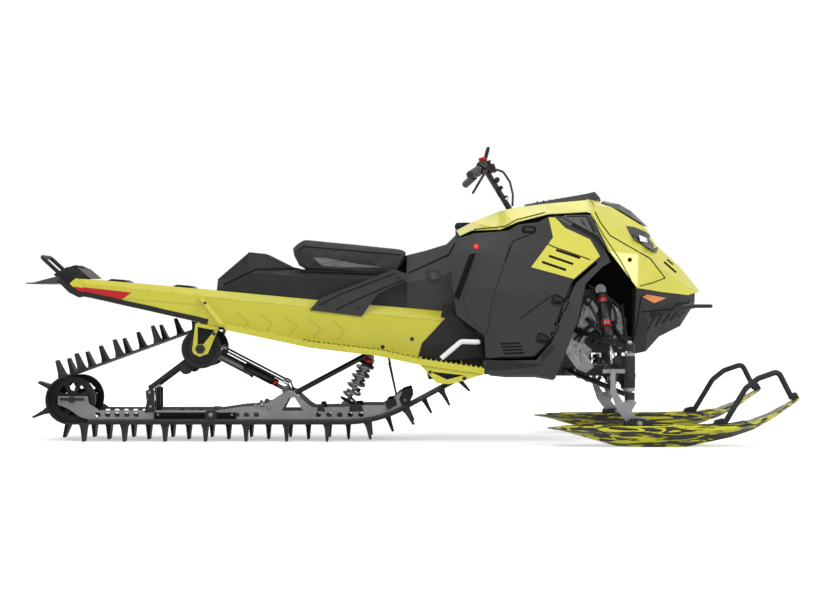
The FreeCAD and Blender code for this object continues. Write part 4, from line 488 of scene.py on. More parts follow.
def slab(outline, near, far):
    """A plate with this outline of X and Z from one Y to another."""
    count = len(outline)
    verts = [(x, y, z) for y in (near, far) for x, z in outline]
    faces = [tuple(range(count)), tuple(reversed(range(count, 2 * count)))]
    for i in range(count):
        j = (i + 1) % count
        faces.append((i, i + count, j + count, j))
    return verts, faces


def outer_slab(outline, side, inner, thick):
    """A slab on one side, from its distance to the centre plane outward."""
    return slab(outline, *sorted((side * inner, side * (inner + thick))))


def oblong(x0, x1, z0, z1):
    """The outline of an oblong."""
    return [(x0, z0), (x1, z0), (x1, z1), (x0, z1)]


def thickened(rows, inward):
    """A sheet through rows of points, thickened inward."""
    wide = len(rows[0])
    verts = [p for row in rows for p in row] + [p + Vector(inward) for row in rows for p in row]
    count = wide * len(rows)
    faces = []
    for k in range(len(rows) - 1):
        for i in range(wide - 1):
            a, b = k * wide + i, (k + 1) * wide + i
            faces += [(a, b, b + 1, a + 1), (a + 1 + count, b + 1 + count, b + count, a + count)]
    return verts, faces


# What the camera sees of the nodes

TREES = {}
BODY_RAY = 1.3  # the heights from which rays go down to the bodywork and to all that lies lower
LOW_RAY = 1.0


def spot(px, py, y):
    """The point in a plane across the machine that the photograph shows at a pixel."""
    scale = (DISTANCE + y) / FOCUS
    return Vector((EYE.x + (px - CENTRE[0]) * scale, y, EYE.z - (py - CENTRE[1]) * scale))


def tree_of(nodes):
    """A search tree over the faces of the named nodes."""
    if nodes not in TREES:
        verts, faces = [], []
        for name in nodes.split():
            mesh = NODES[name].data
            start = len(verts)
            verts += [NODES[name].matrix_world @ v.co for v in mesh.vertices]
            faces += [tuple(i + start for i in p.vertices) for p in mesh.polygons]
        TREES[nodes] = BVHTree.FromPolygons(verts, faces)
    return TREES[nodes]


def below(nodes, x, y, height=LOW_RAY):
    """Where a ray straight down from a height first meets the nodes, or None."""
    return tree_of(nodes).ray_cast(Vector((x, y, height)), DOWN)[0]


def seen_at(px, py, nodes):
    """Where the camera's ray through a pixel first meets the nodes, and the surface's direction there."""
    way = (spot(px, py, 0) - EYE).normalized()
    place, normal = tree_of(nodes).ray_cast(EYE, way)[:2]
    if place is not None and normal.dot(way) > 0:
        normal = -normal
    return place, normal


def lowest_seen(px, first, last, nodes):
    """The lowest half pixel of a column in which the camera sees the nodes, or None."""
    seen = [half / 2 for half in range(first * 2, last * 2) if seen_at(px, half / 2, nodes)[0] is not None]
    return max(seen, default=None)


def decal(outline, nodes, off=0.0006, thick=0.0012, step=6.0):
    """A thin sheet over the nodes inside an outline of pixels, raised by its thickness."""
    net = bmesh.new()
    net.faces.new([net.verts.new((px, py, 0)) for px, py in outline])
    for axis in (0, 1):
        way = Vector((1 - axis, axis, 0))
        low, high = min(p[axis] for p in outline), max(p[axis] for p in outline)
        count = max(1, int((high - low) / step))
        for i in range(1, count):
            bmesh.ops.bisect_plane(net, geom=net.verts[:] + net.edges[:] + net.faces[:],
                                   plane_co=way * (low + (high - low) * i / count), plane_no=way)
    bmesh.ops.triangulate(net, faces=net.faces[:])
    hits = {v: seen_at(v.co.x, v.co.y, nodes) for v in net.verts}
    bmesh.ops.delete(net, geom=[v for v in net.verts if hits[v][0] is None], context="VERTS")
    net.verts.index_update()
    verts = [hits[v][0] + hits[v][1] * lift for lift in (off, off + thick) for v in net.verts]
    count = len(net.verts)
    flat = [tuple(v.index for v in f.verts) for f in net.faces]
    faces = [tuple(i + count for i in f) for f in flat] + [tuple(reversed(f)) for f in flat]
    for loop in [e.link_loops[0] for e in net.edges if len(e.link_faces) == 1]:
        a, b = loop.vert.index, loop.link_loop_next.vert.index
        faces.append((a, b, b + count, a + count))
    net.free()
    if faces:
        p, q, r = [verts[i] for i in faces[0][:3]]
        if (q - p).cross(r - p).y > 0:
            faces = [tuple(reversed(f)) for f in faces]
    return verts, faces


def line_decal(route, width, nodes, off=0.0006, thick=0.001):
    """A narrow strip over the nodes along a route of pixels."""
    points = [Vector(p) for p in route]
    left, right = [], []
    for i, point in enumerate(points):
        way = heading_at(points, i)
        side = Vector((-way.y, way.x)) * width / 2
        left.append(tuple(point + side))
        right.append(tuple(point - side))
    return decal(left + right[::-1], nodes, off, thick, 5.0)


def framed(outline, width, nodes, **more):
    """A closed narrow line along an outline of pixels."""
    ends = list(outline[1:]) + [outline[0]]
    return [line_decal((a, b), width, nodes, **more) for a, b in zip(outline, ends)]


def plate(outline, near, far, at=None):
    """A plate from one Y to another whose pixels are read in one plane across the machine, or in the near one."""
    points = [spot(px, py, near if at is None else at) for px, py in outline]
    return slab([(p.x, p.z) for p in points], near, far)


def disc(px, py, radius, count=16):
    """The pixels of a small circle."""
    turns = [2 * math.pi * i / count for i in range(count)]
    return [(px + radius * math.cos(a), py + radius * math.sin(a)) for a in turns]


def shifted(outline, x0, y0):
    """An outline of pixels moved to a place."""
    return [(x0 + px, y0 + py) for px, py in outline]


def stepped(width, count, *points):
    """Equal routes in steps: each point is a pixel and what is added to it from one route to the next."""
    return [(width, *[(x + dx * k, y + dy * k) for x, y, dx, dy in points]) for k in range(count)]


# What is traced on the photograph

OUTLINES = {
    "quarter_backing": ((553, 216), (588, 216), (611, 262), (600, 268), (586, 245), (560, 231)),
    "footwell_liner": ((443, 306), (458, 305), (494, 337), (492, 371), (466, 366), (452, 350), (438, 331)),
    "side_insert": ((548.5, 217.5), (555, 217.5), (565, 228), (590, 239.5), (600, 256.5), (573.8, 279),
                    (531, 267.3), (553, 237.5)),
    "hinge_tab": ((0, 3), (3, 0), (13, 2.5), (14, 6), (11, 9.5), (1, 7.5)),
    "hinge_slot": ((3, 3.2), (11, 4.8), (10.5, 6.8), (3, 5.6)),
    "hinge_rim": ((0.4, 5.8), (1.9, -1.6), (4.6, -2.2), (12.4, 2.2), (10.8, 7.6)),
    "latch_recess": ((522, 227.5), (524, 226), (535, 226.5), (536.5, 229), (535, 233), (523, 233.2), (521.6, 231)),
    "knee_pad": ((480.5, 254), (497, 241.5), (509.5, 245), (504, 264), (492, 300), (486.5, 334), (471, 318),
                 (464, 300), (469, 277)),
    "clip_channel_shade": ((470, 254.5), (476, 253), (472, 264), (466, 280), (459, 300), (453.5, 311), (449.5, 311),
                     (453.5, 298), (461, 278), (466, 264)),
    "latch_grip": ((524.5, 228), (534, 228.4), (533.5, 231.6), (525, 231.5)),
    "lower_trim": ((486, 361.5), (534.5, 360.2), (552.5, 344.5), (554.5, 349), (539, 366), (500, 370.5),
                   (486, 369)),
    "hood_plug": disc(629.8, 259.8, 2.1),
    "lamp_surround": ((626, 226.5), (634, 227.5), (645, 232), (655, 239.5), (657.5, 247.5), (656, 253),
                      (641, 244.5), (631, 236)),
    "lamp_bright": ((638, 235.5), (645.5, 238.5), (646.5, 243), (639.5, 242)),
    "vent_rim": ((556.5, 216.6), (586.5, 216.2), (602, 250.5), (590.5, 236), (566, 223)),
    "tail_stripe": ((83, 287.2), (100, 289), (131.5, 292.6), (122, 299.4), (100, 295.6), (83, 292)),
    "bracket_shade": ((424, 366), (430, 373), (447, 380.5), (466, 376), (481, 370), (436, 363)),
    "tail_tip": ((69.5, 283.5), (75.5, 278.3), (83, 279.2), (83, 290.4), (73, 287.2)),
    "tail_tip_stripe": ((72.6, 286.4), (85, 288.2), (85, 292.4), (78.5, 290.8)),
    "flap_flange": ((44, 279.5), (58, 276), (63, 283.4), (29, 283.8)),
    "seat_front_shade": ((401, 256), (408, 256), (409.5, 299), (402.5, 299), (402, 277), (393, 275)),
    "seat_grip_strip": ((313, 257.5), (326, 258), (342, 261), (358, 264), (380, 266.5), (380, 267.6), (340, 267.2),
                        (322, 266)),
    "limiter_strap_head": ((381.5, 330), (383.3, 330), (391.3, 364.5), (389.3, 364.5)),
    "link_posts": ((145.5, 391), (150, 388.5), (154.5, 390.5), (154.5, 412.5), (144.5, 412.5), (146.5, 402)),
    "kingpin_guard": ((613, 358), (620, 355), (627, 357), (632, 362), (632, 384), (624, 388), (617, 380),
                      (619, 371), (613, 366)),
    "tank_recess": ((424.5, 271.5), (429, 269), (440, 269.5), (441.5, 277), (435, 283), (427.5, 280)),
    "tank_latch": ((429, 274.5), (435.5, 272.5), (437.5, 278.5), (432.5, 280)),
}

ROUTES = {  # each line's width and its points
    "insert_bars": stepped(2.2, 3, (556, 250, -7, 6), (580, 258.2, -7, 6))
                   + [(1.0, (548, 244.5), (553, 246.8), (590, 259.8))],
    # the first line is the seam between the panel and the arch frame; the other two are painted shade along the
    # panel's crease and bulge
    "panel_seams_and_shading": ((0.9, (486, 357.8), (534, 356.4), (549, 341.5), (566.5, 296), (572, 282)),
                      (0.8, (551.8, 295.4), (536, 307), (520.3, 318.4)), (0.8, (505, 262), (513, 241), (534, 233))),
    "panel_slots": stepped(1.5, 4, (500, 344, 1.5, 3.2), (520, 343, 1.5, 3.2)),
    "hood_seams": ((0.9, (590.5, 203), (600, 222), (610, 235.5), (629, 246.5), (650, 258.5), (665, 278)),
                   (0.9, (665, 278), (652, 283), (640, 286)),
                   (0.7, (634, 285), (620, 260), (604, 236), (592, 216))),
    "hood_stripes": ((1.6, (664, 262), (676, 272.5)), (1.2, (667, 259.5), (673, 264.6))),
    "nose_seams": ((0.9, (642, 312), (672, 309), (678, 303.5), (700, 302)),
                   (0.9, (646, 352), (660, 339), (683, 328)), (0.8, (641, 296), (636, 330), (632, 344))),
    "nose_ribs": stepped(1.5, 5, (648, 330, 7.5, -3.2), (655, 316, 7.5, -1.2)),
    "vent_slats": stepped(1.3, 4, (566, 218.5, 7.6, 0.6), (573, 226, 7.6, 2.2)),
    "cowl_seam": ((0.8, (474, 229.5), (505, 226.5), (516, 220), (545, 212.6)),),
    "pressed_chevrons": stepped(1.1, 5, (236, 311.5, 24, 2), (249, 321.5, 24, 2.2), (242, 329, 24, 2.4)),
    "tunnel_creases": ((0.8, (212, 297.5), (300, 306.2), (370, 314), (444, 321)),
                       (0.7, (96, 296), (150, 300.5), (205, 305.2))),
    "strut_folds": ((0.9, (319, 305), (340, 294.5), (396, 273)), (0.9, (336, 309.5), (372, 293), (404, 279.5))),
    "seat_welt": ((1.0, (224, 284.5), (240, 277), (256, 269.5), (300, 268.5)),
                  (0.9, (300, 272), (340, 273.5), (381, 275))),
    "seat_piping": ((0.8, (298, 251.5), (304, 246.6), (350, 250.5), (406, 255.5)),),
    "tank_creases": ((0.9, (409, 273), (430, 263.5), (449, 254.4), (455, 243)),),
}


def sheet(name, finish, nodes, bodies=CHASSIS, **more):
    """The thin sheet of this name, laid on the nodes inside its outline."""
    on_both(name, [decal(OUTLINES[name], nodes, **more)], finish, bodies)


def strips(name, finish, nodes, bodies=CHASSIS, **more):
    """The narrow lines of this name, laid on the nodes along their routes."""
    on_both(name, [line_decal(route, width, nodes, **more) for width, *route in ROUTES[name]], finish, bodies)


def plates(name, finish, near, far, at=None):
    """The plate of this name inside its outline."""
    on_both(name, [plate(OUTLINES[name], near, far, at)], finish)


# The seat pad

PAD_INSET = 0.004
PAD_VOXEL = 0.0055
PAD_PRESSURE = 4.0
PAD_CAP = PAD_INSET + 0.002
CLOTH_FRAMES = 20
FRONT_END = 0.8  # the shares of the pad's length where its two sloped ends start
REAR_END = 0.14
FRONT_SLOPE = 0.034
REAR_SLOPE = 0.055
REAR_TUCK = 0.024
BASE_SINK = 0.012
LOOSE_DROP = 0.022
TAIL_RISE = 0.008
RISE_FADE = 1.6


def applied(obj, kind, **settings):
    """The piece after one modifier with these settings."""
    modifier = obj.modifiers.new(kind.lower(), kind)
    for key, value in settings.items():
        setattr(modifier, key, value)
    bpy.context.view_layer.objects.active = obj
    bpy.ops.object.modifier_apply(modifier=modifier.name)


def fitted(obj, low, high):
    """The pad brought down onto the seat base, its two ends sloped."""
    middle = (low.z + high.z) / 2
    span = high.x - low.x
    for v in obj.data.vertices:
        under = min(1, max(0, (middle - v.co.z) / (middle - low.z)))
        hit = below("seat_base", v.co.x, v.co.y, high.z)
        drop = -LOOSE_DROP if hit is None else hit.z - BASE_SINK - low.z
        v.co.z += min(0.0, drop) * under
        share = (v.co.x - low.x) / span
        up = (v.co.z - low.z) / (high.z - low.z)
        if share > FRONT_END:
            v.co.x += (FRONT_SLOPE * up - FRONT_SLOPE * (1 - up)) * (share - FRONT_END) / (1 - FRONT_END)
        elif share < REAR_END:
            v.co.x += (REAR_SLOPE * (1 - up) - REAR_TUCK) * (REAR_END - share) / REAR_END
        v.co.z += TAIL_RISE * max(0, up) * max(0, 1 - share * RISE_FADE)


def settled(obj):
    """The piece swelled like a stuffed cover by a short cloth run, its movement capped."""
    before = [v.co.copy() for v in obj.data.vertices]
    cloth = obj.modifiers.new("cloth", "CLOTH")
    cloth.settings.use_pressure = True
    cloth.settings.uniform_pressure_force = PAD_PRESSURE
    cloth.settings.quality = 4
    cloth.settings.effector_weights.gravity = 0
    cloth.point_cache.frame_start = 1
    cloth.point_cache.frame_end = CLOTH_FRAMES
    for step in range(1, CLOTH_FRAMES + 1):
        SCENE.frame_set(step)
    shaped = obj.evaluated_get(bpy.context.evaluated_depsgraph_get()).to_mesh()
    after = [v.co.copy() for v in shaped.vertices]
    obj.modifiers.remove(cloth)
    SCENE.frame_set(1)
    for v, a, b in zip(obj.data.vertices, before, after):
        move = b - a
        if move.length > PAD_CAP:
            move = move.normalized() * PAD_CAP
        v.co = a + move


def make_cushion():
    """The soft seat pad in place of the CAD cushion."""
    low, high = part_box("seat_cushion")
    middle = (low + high) / 2
    size = high - low
    node = NODES["seat_cushion"]
    mesh = bpy.data.meshes.new("seat_pad")
    net = bmesh.new()
    net.from_mesh(node.data)
    bmesh.ops.remove_doubles(net, verts=net.verts[:], dist=0.0002)
    for v in net.verts:
        place = node.matrix_world @ v.co - middle
        v.co = middle + Vector([place[i] * (1 - 2 * PAD_INSET / size[i]) for i in range(3)])
    net.to_mesh(mesh)
    net.free()
    pad = piece("seat_pad", mesh, "seat", "chassis", True)
    applied(pad, "REMESH", mode="VOXEL", voxel_size=PAD_VOXEL)
    fitted(pad, low, high)
    applied(pad, "SMOOTH", iterations=5)
    settled(pad)
    TREES["seat_pad"] = BVHTree.FromPolygons([v.co.copy() for v in pad.data.vertices],
                                             [tuple(f.vertices) for f in pad.data.polygons])
    applied(pad, "SUBSURF", levels=1, render_levels=1)
    smooth_faces(pad.data)
    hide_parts("seat_cushion")


# Thin sheets behind the gaps of the bodywork, the dark ones painted shade

ROOF = "top_cowl hood quarter_vents fuel_tank windscreen hood_vent nose_bumper"
ROOF_GAP = 0.014
SHEET = 0.002
COWL_GAP = (584.5, 597.5)  # the columns of pixels between which the cowl and the hood are joined
COWL_HALF = 0.27
COWL_DROP = 0.0015
CORNER_ROWS = (((586, 203.5), (597, 203)), ((586, 208), (597, 209)), ((586, 212), (595.5, 214)))
QUARTER_ROWS = (((555, 220), (566, 215.5)), ((564, 231), (574, 223)), ((575, 236), (585, 229)),
                ((588.5, 241), (594.5, 235)))
BODY_LINE = ((455, 304), (462, 318), (489, 340), (490, 364), (552, 366), (560, 345))
ARCH_LINE = ((560, 342), (648, 342))


def inner_wall(low_line, y, columns=34, half=0.0015):
    """An upright sheet from a lower line of pixels up to just under the bodywork."""
    low = [spot(px, py, y) for px, py in low_line]
    verts = []
    for i in range(columns + 1):
        x = low[0].x + (low[-1].x - low[0].x) * i / columns
        for a, b in zip(low, low[1:]):
            if a.x <= x <= b.x + 1e-6:
                floor = a.z + (b.z - a.z) * (x - a.x) / max(1e-6, b.x - a.x)
        hits = [below(ROOF, x, y + side, BODY_RAY) for side in (-0.004, 0.004)]
        if None in hits:
            continue
        top = min(hit.z for hit in hits) - ROOF_GAP
        if top >= floor + 0.01:
            verts += [(x, y + side, z) for side in (-half, half) for z in (floor, top)]
    last = len(verts) - 4
    faces = []
    for a in range(0, last, 4):
        b = a + 4
        faces += [(a, b, b + 1, a + 1), (a + 2, a + 3, b + 3, b + 2), (a, a + 2, b + 2, b),
                  (a + 1, b + 1, b + 3, a + 3)]
    return verts, faces + [(0, 1, 3, 2), (last, last + 2, last + 3, last + 1)]


def sheet_between(columns, half, nodes, drop, wide=18, along=5):
    """A sheet laid from side to side just under the nodes that it joins, between two columns of pixels."""
    xs = [spot(px, 0, 0).x for px in columns]
    rows = []
    for k in range(wide + 1):
        ends = [below(nodes, x, -half + 2 * half * k / wide, BODY_RAY) for x in xs]
        if None not in ends:
            rows.append([between(*ends, i / (along - 1)) + DOWN * drop for i in range(along)])
    return thickened(rows, DOWN * SHEET)


def bridge(pairs, first_node, last_node, inset):
    """A sheet from pixels that show one node to pixels that show another, set inward."""
    rows = []
    for first, last in pairs:
        ends = seen_at(*first, first_node)[0], seen_at(*last, last_node)[0]
        if None not in ends:
            rows.append([between(*ends, share) + Vector((0, inset, 0)) for share in (0, 0.5, 1)])
    return thickened(rows, (0, SHEET, 0))


def make_liners():
    """Thin sheets inside the bodywork, so that no daylight shows between the panels; the dark ones are painted
    shade.
    """
    made("cowl_joint", [sheet_between(COWL_GAP, COWL_HALF, "top_cowl hood hood_vent", COWL_DROP)], "paint",
         smooth=True)
    on_both("cowl_corner", [bridge(CORNER_ROWS, "top_cowl", "hood", 0.004)], "paint")
    on_both("quarter_strip", [bridge(QUARTER_ROWS, "side_panel_right", "quarter_vents", 0.008)], "grey")
    plates("quarter_backing", "grey", near=-0.218, far=-0.215, at=-0.215)
    # the footwell, body and arch liners are dark sheets of painted shade where the bodywork shows only shade inside
    plates("footwell_liner", "plastic", near=-0.2045, far=-0.2025, at=-0.2)
    on_both("body_liner", [inner_wall(BODY_LINE, y=-0.2)], "seam")
    on_both("arch_liner", [inner_wall(ARCH_LINE, y=-0.06)], "seam")


# Colour, seams and painted shade on the side panels

PANEL = "side_panel_right"
HINGES = ((551.5, 297), (536.5, 335.5))
SIDE_CLIP = (476.4, 246.8)


def make_panel_art():
    """The yellow insert with plain slanted bars, the seam and painted shading lines, the latches and the clip."""
    sheet("side_insert", "paint", PANEL, PANEL_BODIES, thick=0.0016, step=5)
    strips("insert_bars", "seam", PANEL, PANEL_BODIES, off=0.0024)
    strips("panel_seams_and_shading", "seam", PANEL, PANEL_BODIES)
    for index, place in enumerate(HINGES):
        tab, slot, rim = [shifted(OUTLINES[name], *place) for name in ("hinge_tab", "hinge_slot", "hinge_rim")]
        on_both("hinge_tab_%d" % index, [decal(tab, PANEL, thick=0.004, step=4)], "plastic", PANEL_BODIES)
        on_both("hinge_slot_%d" % index, [decal(slot, PANEL, off=0.0047, thick=0.0008, step=4)], "seam",
                PANEL_BODIES)
        on_both("hinge_rim_%d" % index, framed(rim, 1.1, PANEL, thick=0.0044), "seam", PANEL_BODIES)
    sheet("latch_recess", "seam", PANEL, PANEL_BODIES, thick=0.0008, step=4)
    sheet("knee_pad", "panel", PANEL, PANEL_BODIES, thick=0.005, step=9)
    # the near-black channel below the clip is painted shade in a recess between the tank and the panel
    sheet("clip_channel_shade", "seam", PANEL, PANEL_BODIES, thick=0.0014, step=4)
    sheet("latch_grip", "coat", PANEL, PANEL_BODIES, off=0.0014, thick=0.0035, step=4)
    place, normal = seen_at(*SIDE_CLIP, PANEL)
    on_both("side_clip", [knob(place, place + normal * 0.006, 0.0145, 0.011, 0.6, 6)], "red", PANEL_BODIES)
    strips("panel_slots", "seam", PANEL, PANEL_BODIES, thick=0.0012)
    sheet("lower_trim", "plastic", "side_panel_right arch_frames", thick=0.0008)


# Hood, lamps and nose

LOUVRES = 8
RIDGE = ((0.1, 0.02), (0.35, 0.14), (0.6, 0.34), (0.9, 0.8))  # shares of the windscreen's length and of its fall


def make_hood_details():
    """Seams, lamps, vents and plugs on the hood, the cowl and the nose."""
    strips("hood_seams", "seam", "hood")
    sheet("hood_plug", "seam", "hood", thick=0.0008, step=3)
    sheet("lamp_surround", "screen", "hood", thick=0.003, step=4)
    sheet("lamp_bright", "lamp", "headlamps hood", off=0.0045, thick=0.002, step=4)
    strips("hood_stripes", "seam", "hood")
    strips("nose_seams", "seam", "nose_bumper")
    strips("nose_ribs", "plastic", "nose_bumper", thick=0.003)
    strips("vent_slats", "panel", "quarter_vents", thick=0.003)
    on_both("vent_rim", framed(OUTLINES["vent_rim"], 1.0, "quarter_vents", thick=0.002), "plastic")
    strips("cowl_seam", "seam", "top_cowl")
    low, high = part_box("hood_vent")
    size = high - low
    bars = []
    for k in range(LOUVRES):
        share = 0.16 + 0.085 * k
        x = low.x + size.x * share
        half = 0.045 + 0.03 * share
        z = high.z - size.z * (1 - share) * 0.72 - 0.004
        bars.append(swept([(x, -half, z - 0.003), (x + 0.004, 0, z + 0.0016), (x, half, z - 0.003)], 0.0036, 6))
    made("vent_louvres", bars, "coat")
    low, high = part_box("windscreen")
    ridge = [(low.x + (high.x - low.x) * along, 0, high.z - (high.z - low.z) * fall) for along, fall in RIDGE]
    made("screen_ridge", [swept(ridge, 0.003, 6)], "plastic", smooth=True)


# Tunnel and tail

TUNNEL = "tunnel"
TRIM_COLUMNS = range(82, 209, 14)
TRIM_ROWS = (285, 335)
TRIM_WIDTH = 5.0
TRIM_RAISE = 2.7
TUNNEL_WALL = (90, 290)  # a pixel that shows the tunnel's side
TAIL_CORNER = ((57, 280.5), (62, 279.5), (70, 286), (76.5, 289.2), (84, 292))
TAIL_CORNER_LOW = ((79, 297.5), (69, 292.5))
RIVETS = [(100 + 24 * i, 285 + 2.2 * i) for i in range(14)]
RIVET = ((0, 0.0055), (0.5, 0.005), (1, 0.0025))
DARK_BOLTS = ((382.7, 347), (412, 339))
TEETH = [226 + i * 5.0 for i in range(52)]
TOOTH = ((-0.006, -0.001), (0.006, -0.001), (0, 0.009))
BOARD_EDGE = (-0.334, -0.328, -0.32)  # where the running board's outer rim is looked for, from outside
STUD = ((0, 0.011), (0.9, 0.0095), (1, 0.006))
STUD_ROWS = (-0.25, -0.285)
STUD_START = -0.44
STUD_PITCH = 0.044
HANDLE = ((0.05, -0.004), (0.08, 0.004), (0.11, -0.008))  # forward of the tail cap's rear and above its top


def make_tail(edge):
    """The dark corner of the tunnel's end, the coloured tips on it and the flap's flange."""
    wall = seen_at(*TUNNEL_WALL, TUNNEL)[0].y
    corner = TAIL_CORNER + ((84, edge + 0.6),) + TAIL_CORNER_LOW
    on_both("tail_corner", [plate(corner, wall - 0.005, wall + 0.024, wall)], "plastic")
    plates("tail_tip", "tunnel", wall - 0.0065, wall)
    plates("tail_tip_stripe", "red_stripe", wall - 0.0075, wall)
    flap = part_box("snow_flap")[0].y
    plates("flap_flange", "flap", flap + 0.002, flap + 0.014, at=flap)


def make_board_grip():
    """Teeth along the running board's rim and studs on its floor."""
    teeth = []
    for px in TEETH:
        x = spot(px, 0, -0.33).x
        tops = [hit for hit in (below("running_boards", x, y) for y in BOARD_EDGE) if hit is not None]
        if tops:
            top = tops[0]
            teeth.append(slab([(x + dx, top.z + dz) for dx, dz in TOOTH], top.y - 0.001, top.y + 0.006))
    on_both("board_teeth", teeth, "tunnel")
    studs = []
    for i in range(17):
        for k, y in enumerate(STUD_ROWS):
            hit = below("running_boards", STUD_START + (i + k / 2) * STUD_PITCH, y)
            if hit is not None:
                studs.append(turned(hit, hit + UP * 0.004, STUD, 10))
    on_both("board_studs", studs, "seam")


def make_tunnel_details():
    """The stripe, the dark lower trim, the tail, pressed chevrons, rivets, bolts and the tail cap's handles."""
    sheet("tail_stripe", "red_stripe", TUNNEL)
    edge = [(px, lowest_seen(px, *TRIM_ROWS, TUNNEL)) for px in TRIM_COLUMNS]
    raised = [(px, py - TRIM_RAISE) for px, py in edge if py is not None]
    trim = [line_decal(ends, TRIM_WIDTH, TUNNEL, thick=0.002) for ends in zip(raised, raised[1:])]
    on_both("tunnel_trim", trim, "plastic")
    plates("bracket_shade", "plastic", near=-0.2, far=-0.197)
    make_tail(edge[0][1])
    strips("pressed_chevrons", "tunnel", TUNNEL, thick=0.0016)
    strips("tunnel_creases", "tunnel", TUNNEL, thick=0.0012)
    rivets = [seen_at(*pixel, TUNNEL) for pixel in RIVETS]
    on_both("tunnel_rivets", [turned(place, place + normal * 0.0022, RIVET, 10) for place, normal in rivets
                              if place is not None], "tunnel")
    dark = []
    for pixel in DARK_BOLTS:
        dark += bolt(*seen_at(*pixel, TUNNEL), 0.006, 0.004)
    on_both("tunnel_bolts", dark, "coat")
    make_board_grip()
    low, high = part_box("tail_cap")
    handles = [swept(smooth_path([(low.x + dx, y, high.z + dz) for dx, dz in HANDLE], 4), 0.006)
               for y in (-0.06, 0.06)]
    made("tail_handles", handles, "plastic", smooth=True)


# Trim of the seat and its struts

def make_seat_details():
    """The shade behind the seat, the struts' folds, the welt, the piping and the grip strips."""
    made("seat_front_shade", [plate(OUTLINES["seat_front_shade"], -0.08, 0.08, at=0)], "seam")
    strips("strut_folds", "seam", "side_struts", thick=0.0016)
    strips("seat_welt", "seam", "seat_base", thick=0.0025)
    sheet("seat_grip_strip", "grip_cloth", "seat_pad", thick=0.0014, step=4)
    strips("seat_piping", "seam", "seat_pad", thick=0.0014)


# Skid, wheels and dampers

CARRIER = (-0.899, 0, 0.408)
IDLER = (-1.473, 0, 0.1836)
FRONT_SHOCK = ((-0.151, 0, 0.3905), (-0.286, 0, 0.122))
REAR_SHOCK = (CARRIER, (-0.5044, 0, 0.202))
CAN_SHIFT = Vector((0, -0.05, 0.012))  # the rear damper's can beside it
ROD_Y = 0.1
ROD_LIFT = (0.02, 0.03)
ROD_REAR = (-0.89, 0.4095)
ROD_FRONT = (-0.5072, 0.2075)
RAIL_Y = 0.145
RAIL_PLANE = -0.15  # the plane in which the rail's pixels are read
RAIL_FACE = RAIL_Y + 0.0047
INSERT_COLUMNS = (154, 236)
CLIP_COLUMN = 211
CLIP = ((-0.026, 0.098), (0.026, 0.098), (0.026, 0.128), (0.014, 0.138), (-0.014, 0.138), (-0.026, 0.128))
RAIL_BOLTS = ((149, 404), (149, 395), (158, 415), (232, 415), (289, 392), (387, 408), (405, 400), (62, 401),
              (76, 401))
POST_FACE = -0.158
POST_BOLTS = ((149.5, 392.5, 0.0065), (150.5, 406.5, 0.0065), (147.5, 400, 0.004))
FRONT_STOP = ((399, 399), (403, 390.5), (411.5, 388), (413.5, 394), (409.5, 403), (402, 406.5))
STOPS = (((385, 405), (388, 400), (395.5, 398.5), (397, 405), (388, 410)),
         ((349, 409), (351, 404.5), (361, 404), (363.5, 411), (350, 412)),
         ((317, 411), (318.5, 405), (323, 404.5), (325, 411.5)))
SKID_NUTS = ((404.5, 399.4, 0.008, 0.006), (262, 404.5, 0.012, 0.02), (268, 408, 0.008, 0.024),
             (256, 405, 0.007, 0.024))  # pixel, radius and distance out of the rail
ROLLER = (186, 368)
ROLLER_SPAN = (0.15, 0.17)
ADJUSTER_COLUMNS = (60, 84)
CARRIER_NUT = ((0, 0.022), (0.6, 0.022), (0.8, 0.012), (1, 0.012))


def make_skid_dampers():
    """The front spring, the rear damper's can, and the torsion rods with their ends."""
    spring = coil(*stretch(FRONT_SHOCK, 0.22, 0.8), radius=0.0355, wire=0.0056, turns=4)
    made("skid_spring", [spring], "spring", smooth=True)
    made("shock_caps", [drum(*stretch(FRONT_SHOCK, 0.1, 0.2), 0.027, 0.005, 0.1, 20),
                        rod(*stretch(REAR_SHOCK, 0.52, 0.56), 0.0225, 20)], "red", smooth=True)
    made("spring_seats", [knob(*stretch(FRONT_SHOCK, 0.8, 0.84), 0.038, 0.03, 0.8, 24),
                          turned(*stretch(FRONT_SHOCK, 0.19, 0.225), ((0, 0.036), (1, 0.038)), 24)], "coat",
         smooth=True)
    can = [drum(*stretch(REAR_SHOCK, 0.45, 0.78, CAN_SHIFT), 0.019, 0.007, 0.03, 20)]
    for share in (0.5, 0.72):
        clamp = between(*REAR_SHOCK, share)
        can.append(rod(clamp, clamp + CAN_SHIFT, 0.009, 12))
    made("skid_reservoir", can, "coat", smooth=True)
    made("reservoir_cap", [knob(*stretch(REAR_SHOCK, 0.78, 0.83, CAN_SHIFT), 0.0165, 0.012, 0.8, 18)], "red",
         smooth=True)
    rods, ends = [], []
    for y in (-ROD_Y, ROD_Y):
        shift = (ROD_LIFT[0], y, ROD_LIFT[1])
        rods.append(swept([(ROD_REAR[0], y, ROD_REAR[1]), *stretch(REAR_SHOCK, 0.12, 0.9, shift),
                           (ROD_FRONT[0], y, ROD_FRONT[1])], 0.0045))
        ends += [drum(*stretch(REAR_SHOCK, *shares, shift), 0.0085, 0.0025, 0.2, 12)
                 for shares in ((0.1, 0.17), (0.84, 0.91))]
    made("torsion_rod_ends", ends, "steel", smooth=True)
    made("limiter_strap_head", [plate(OUTLINES["limiter_strap_head"], -0.014, 0.014)], "rubber")
    made("skid_torsion_rods", rods, "coat", smooth=True)


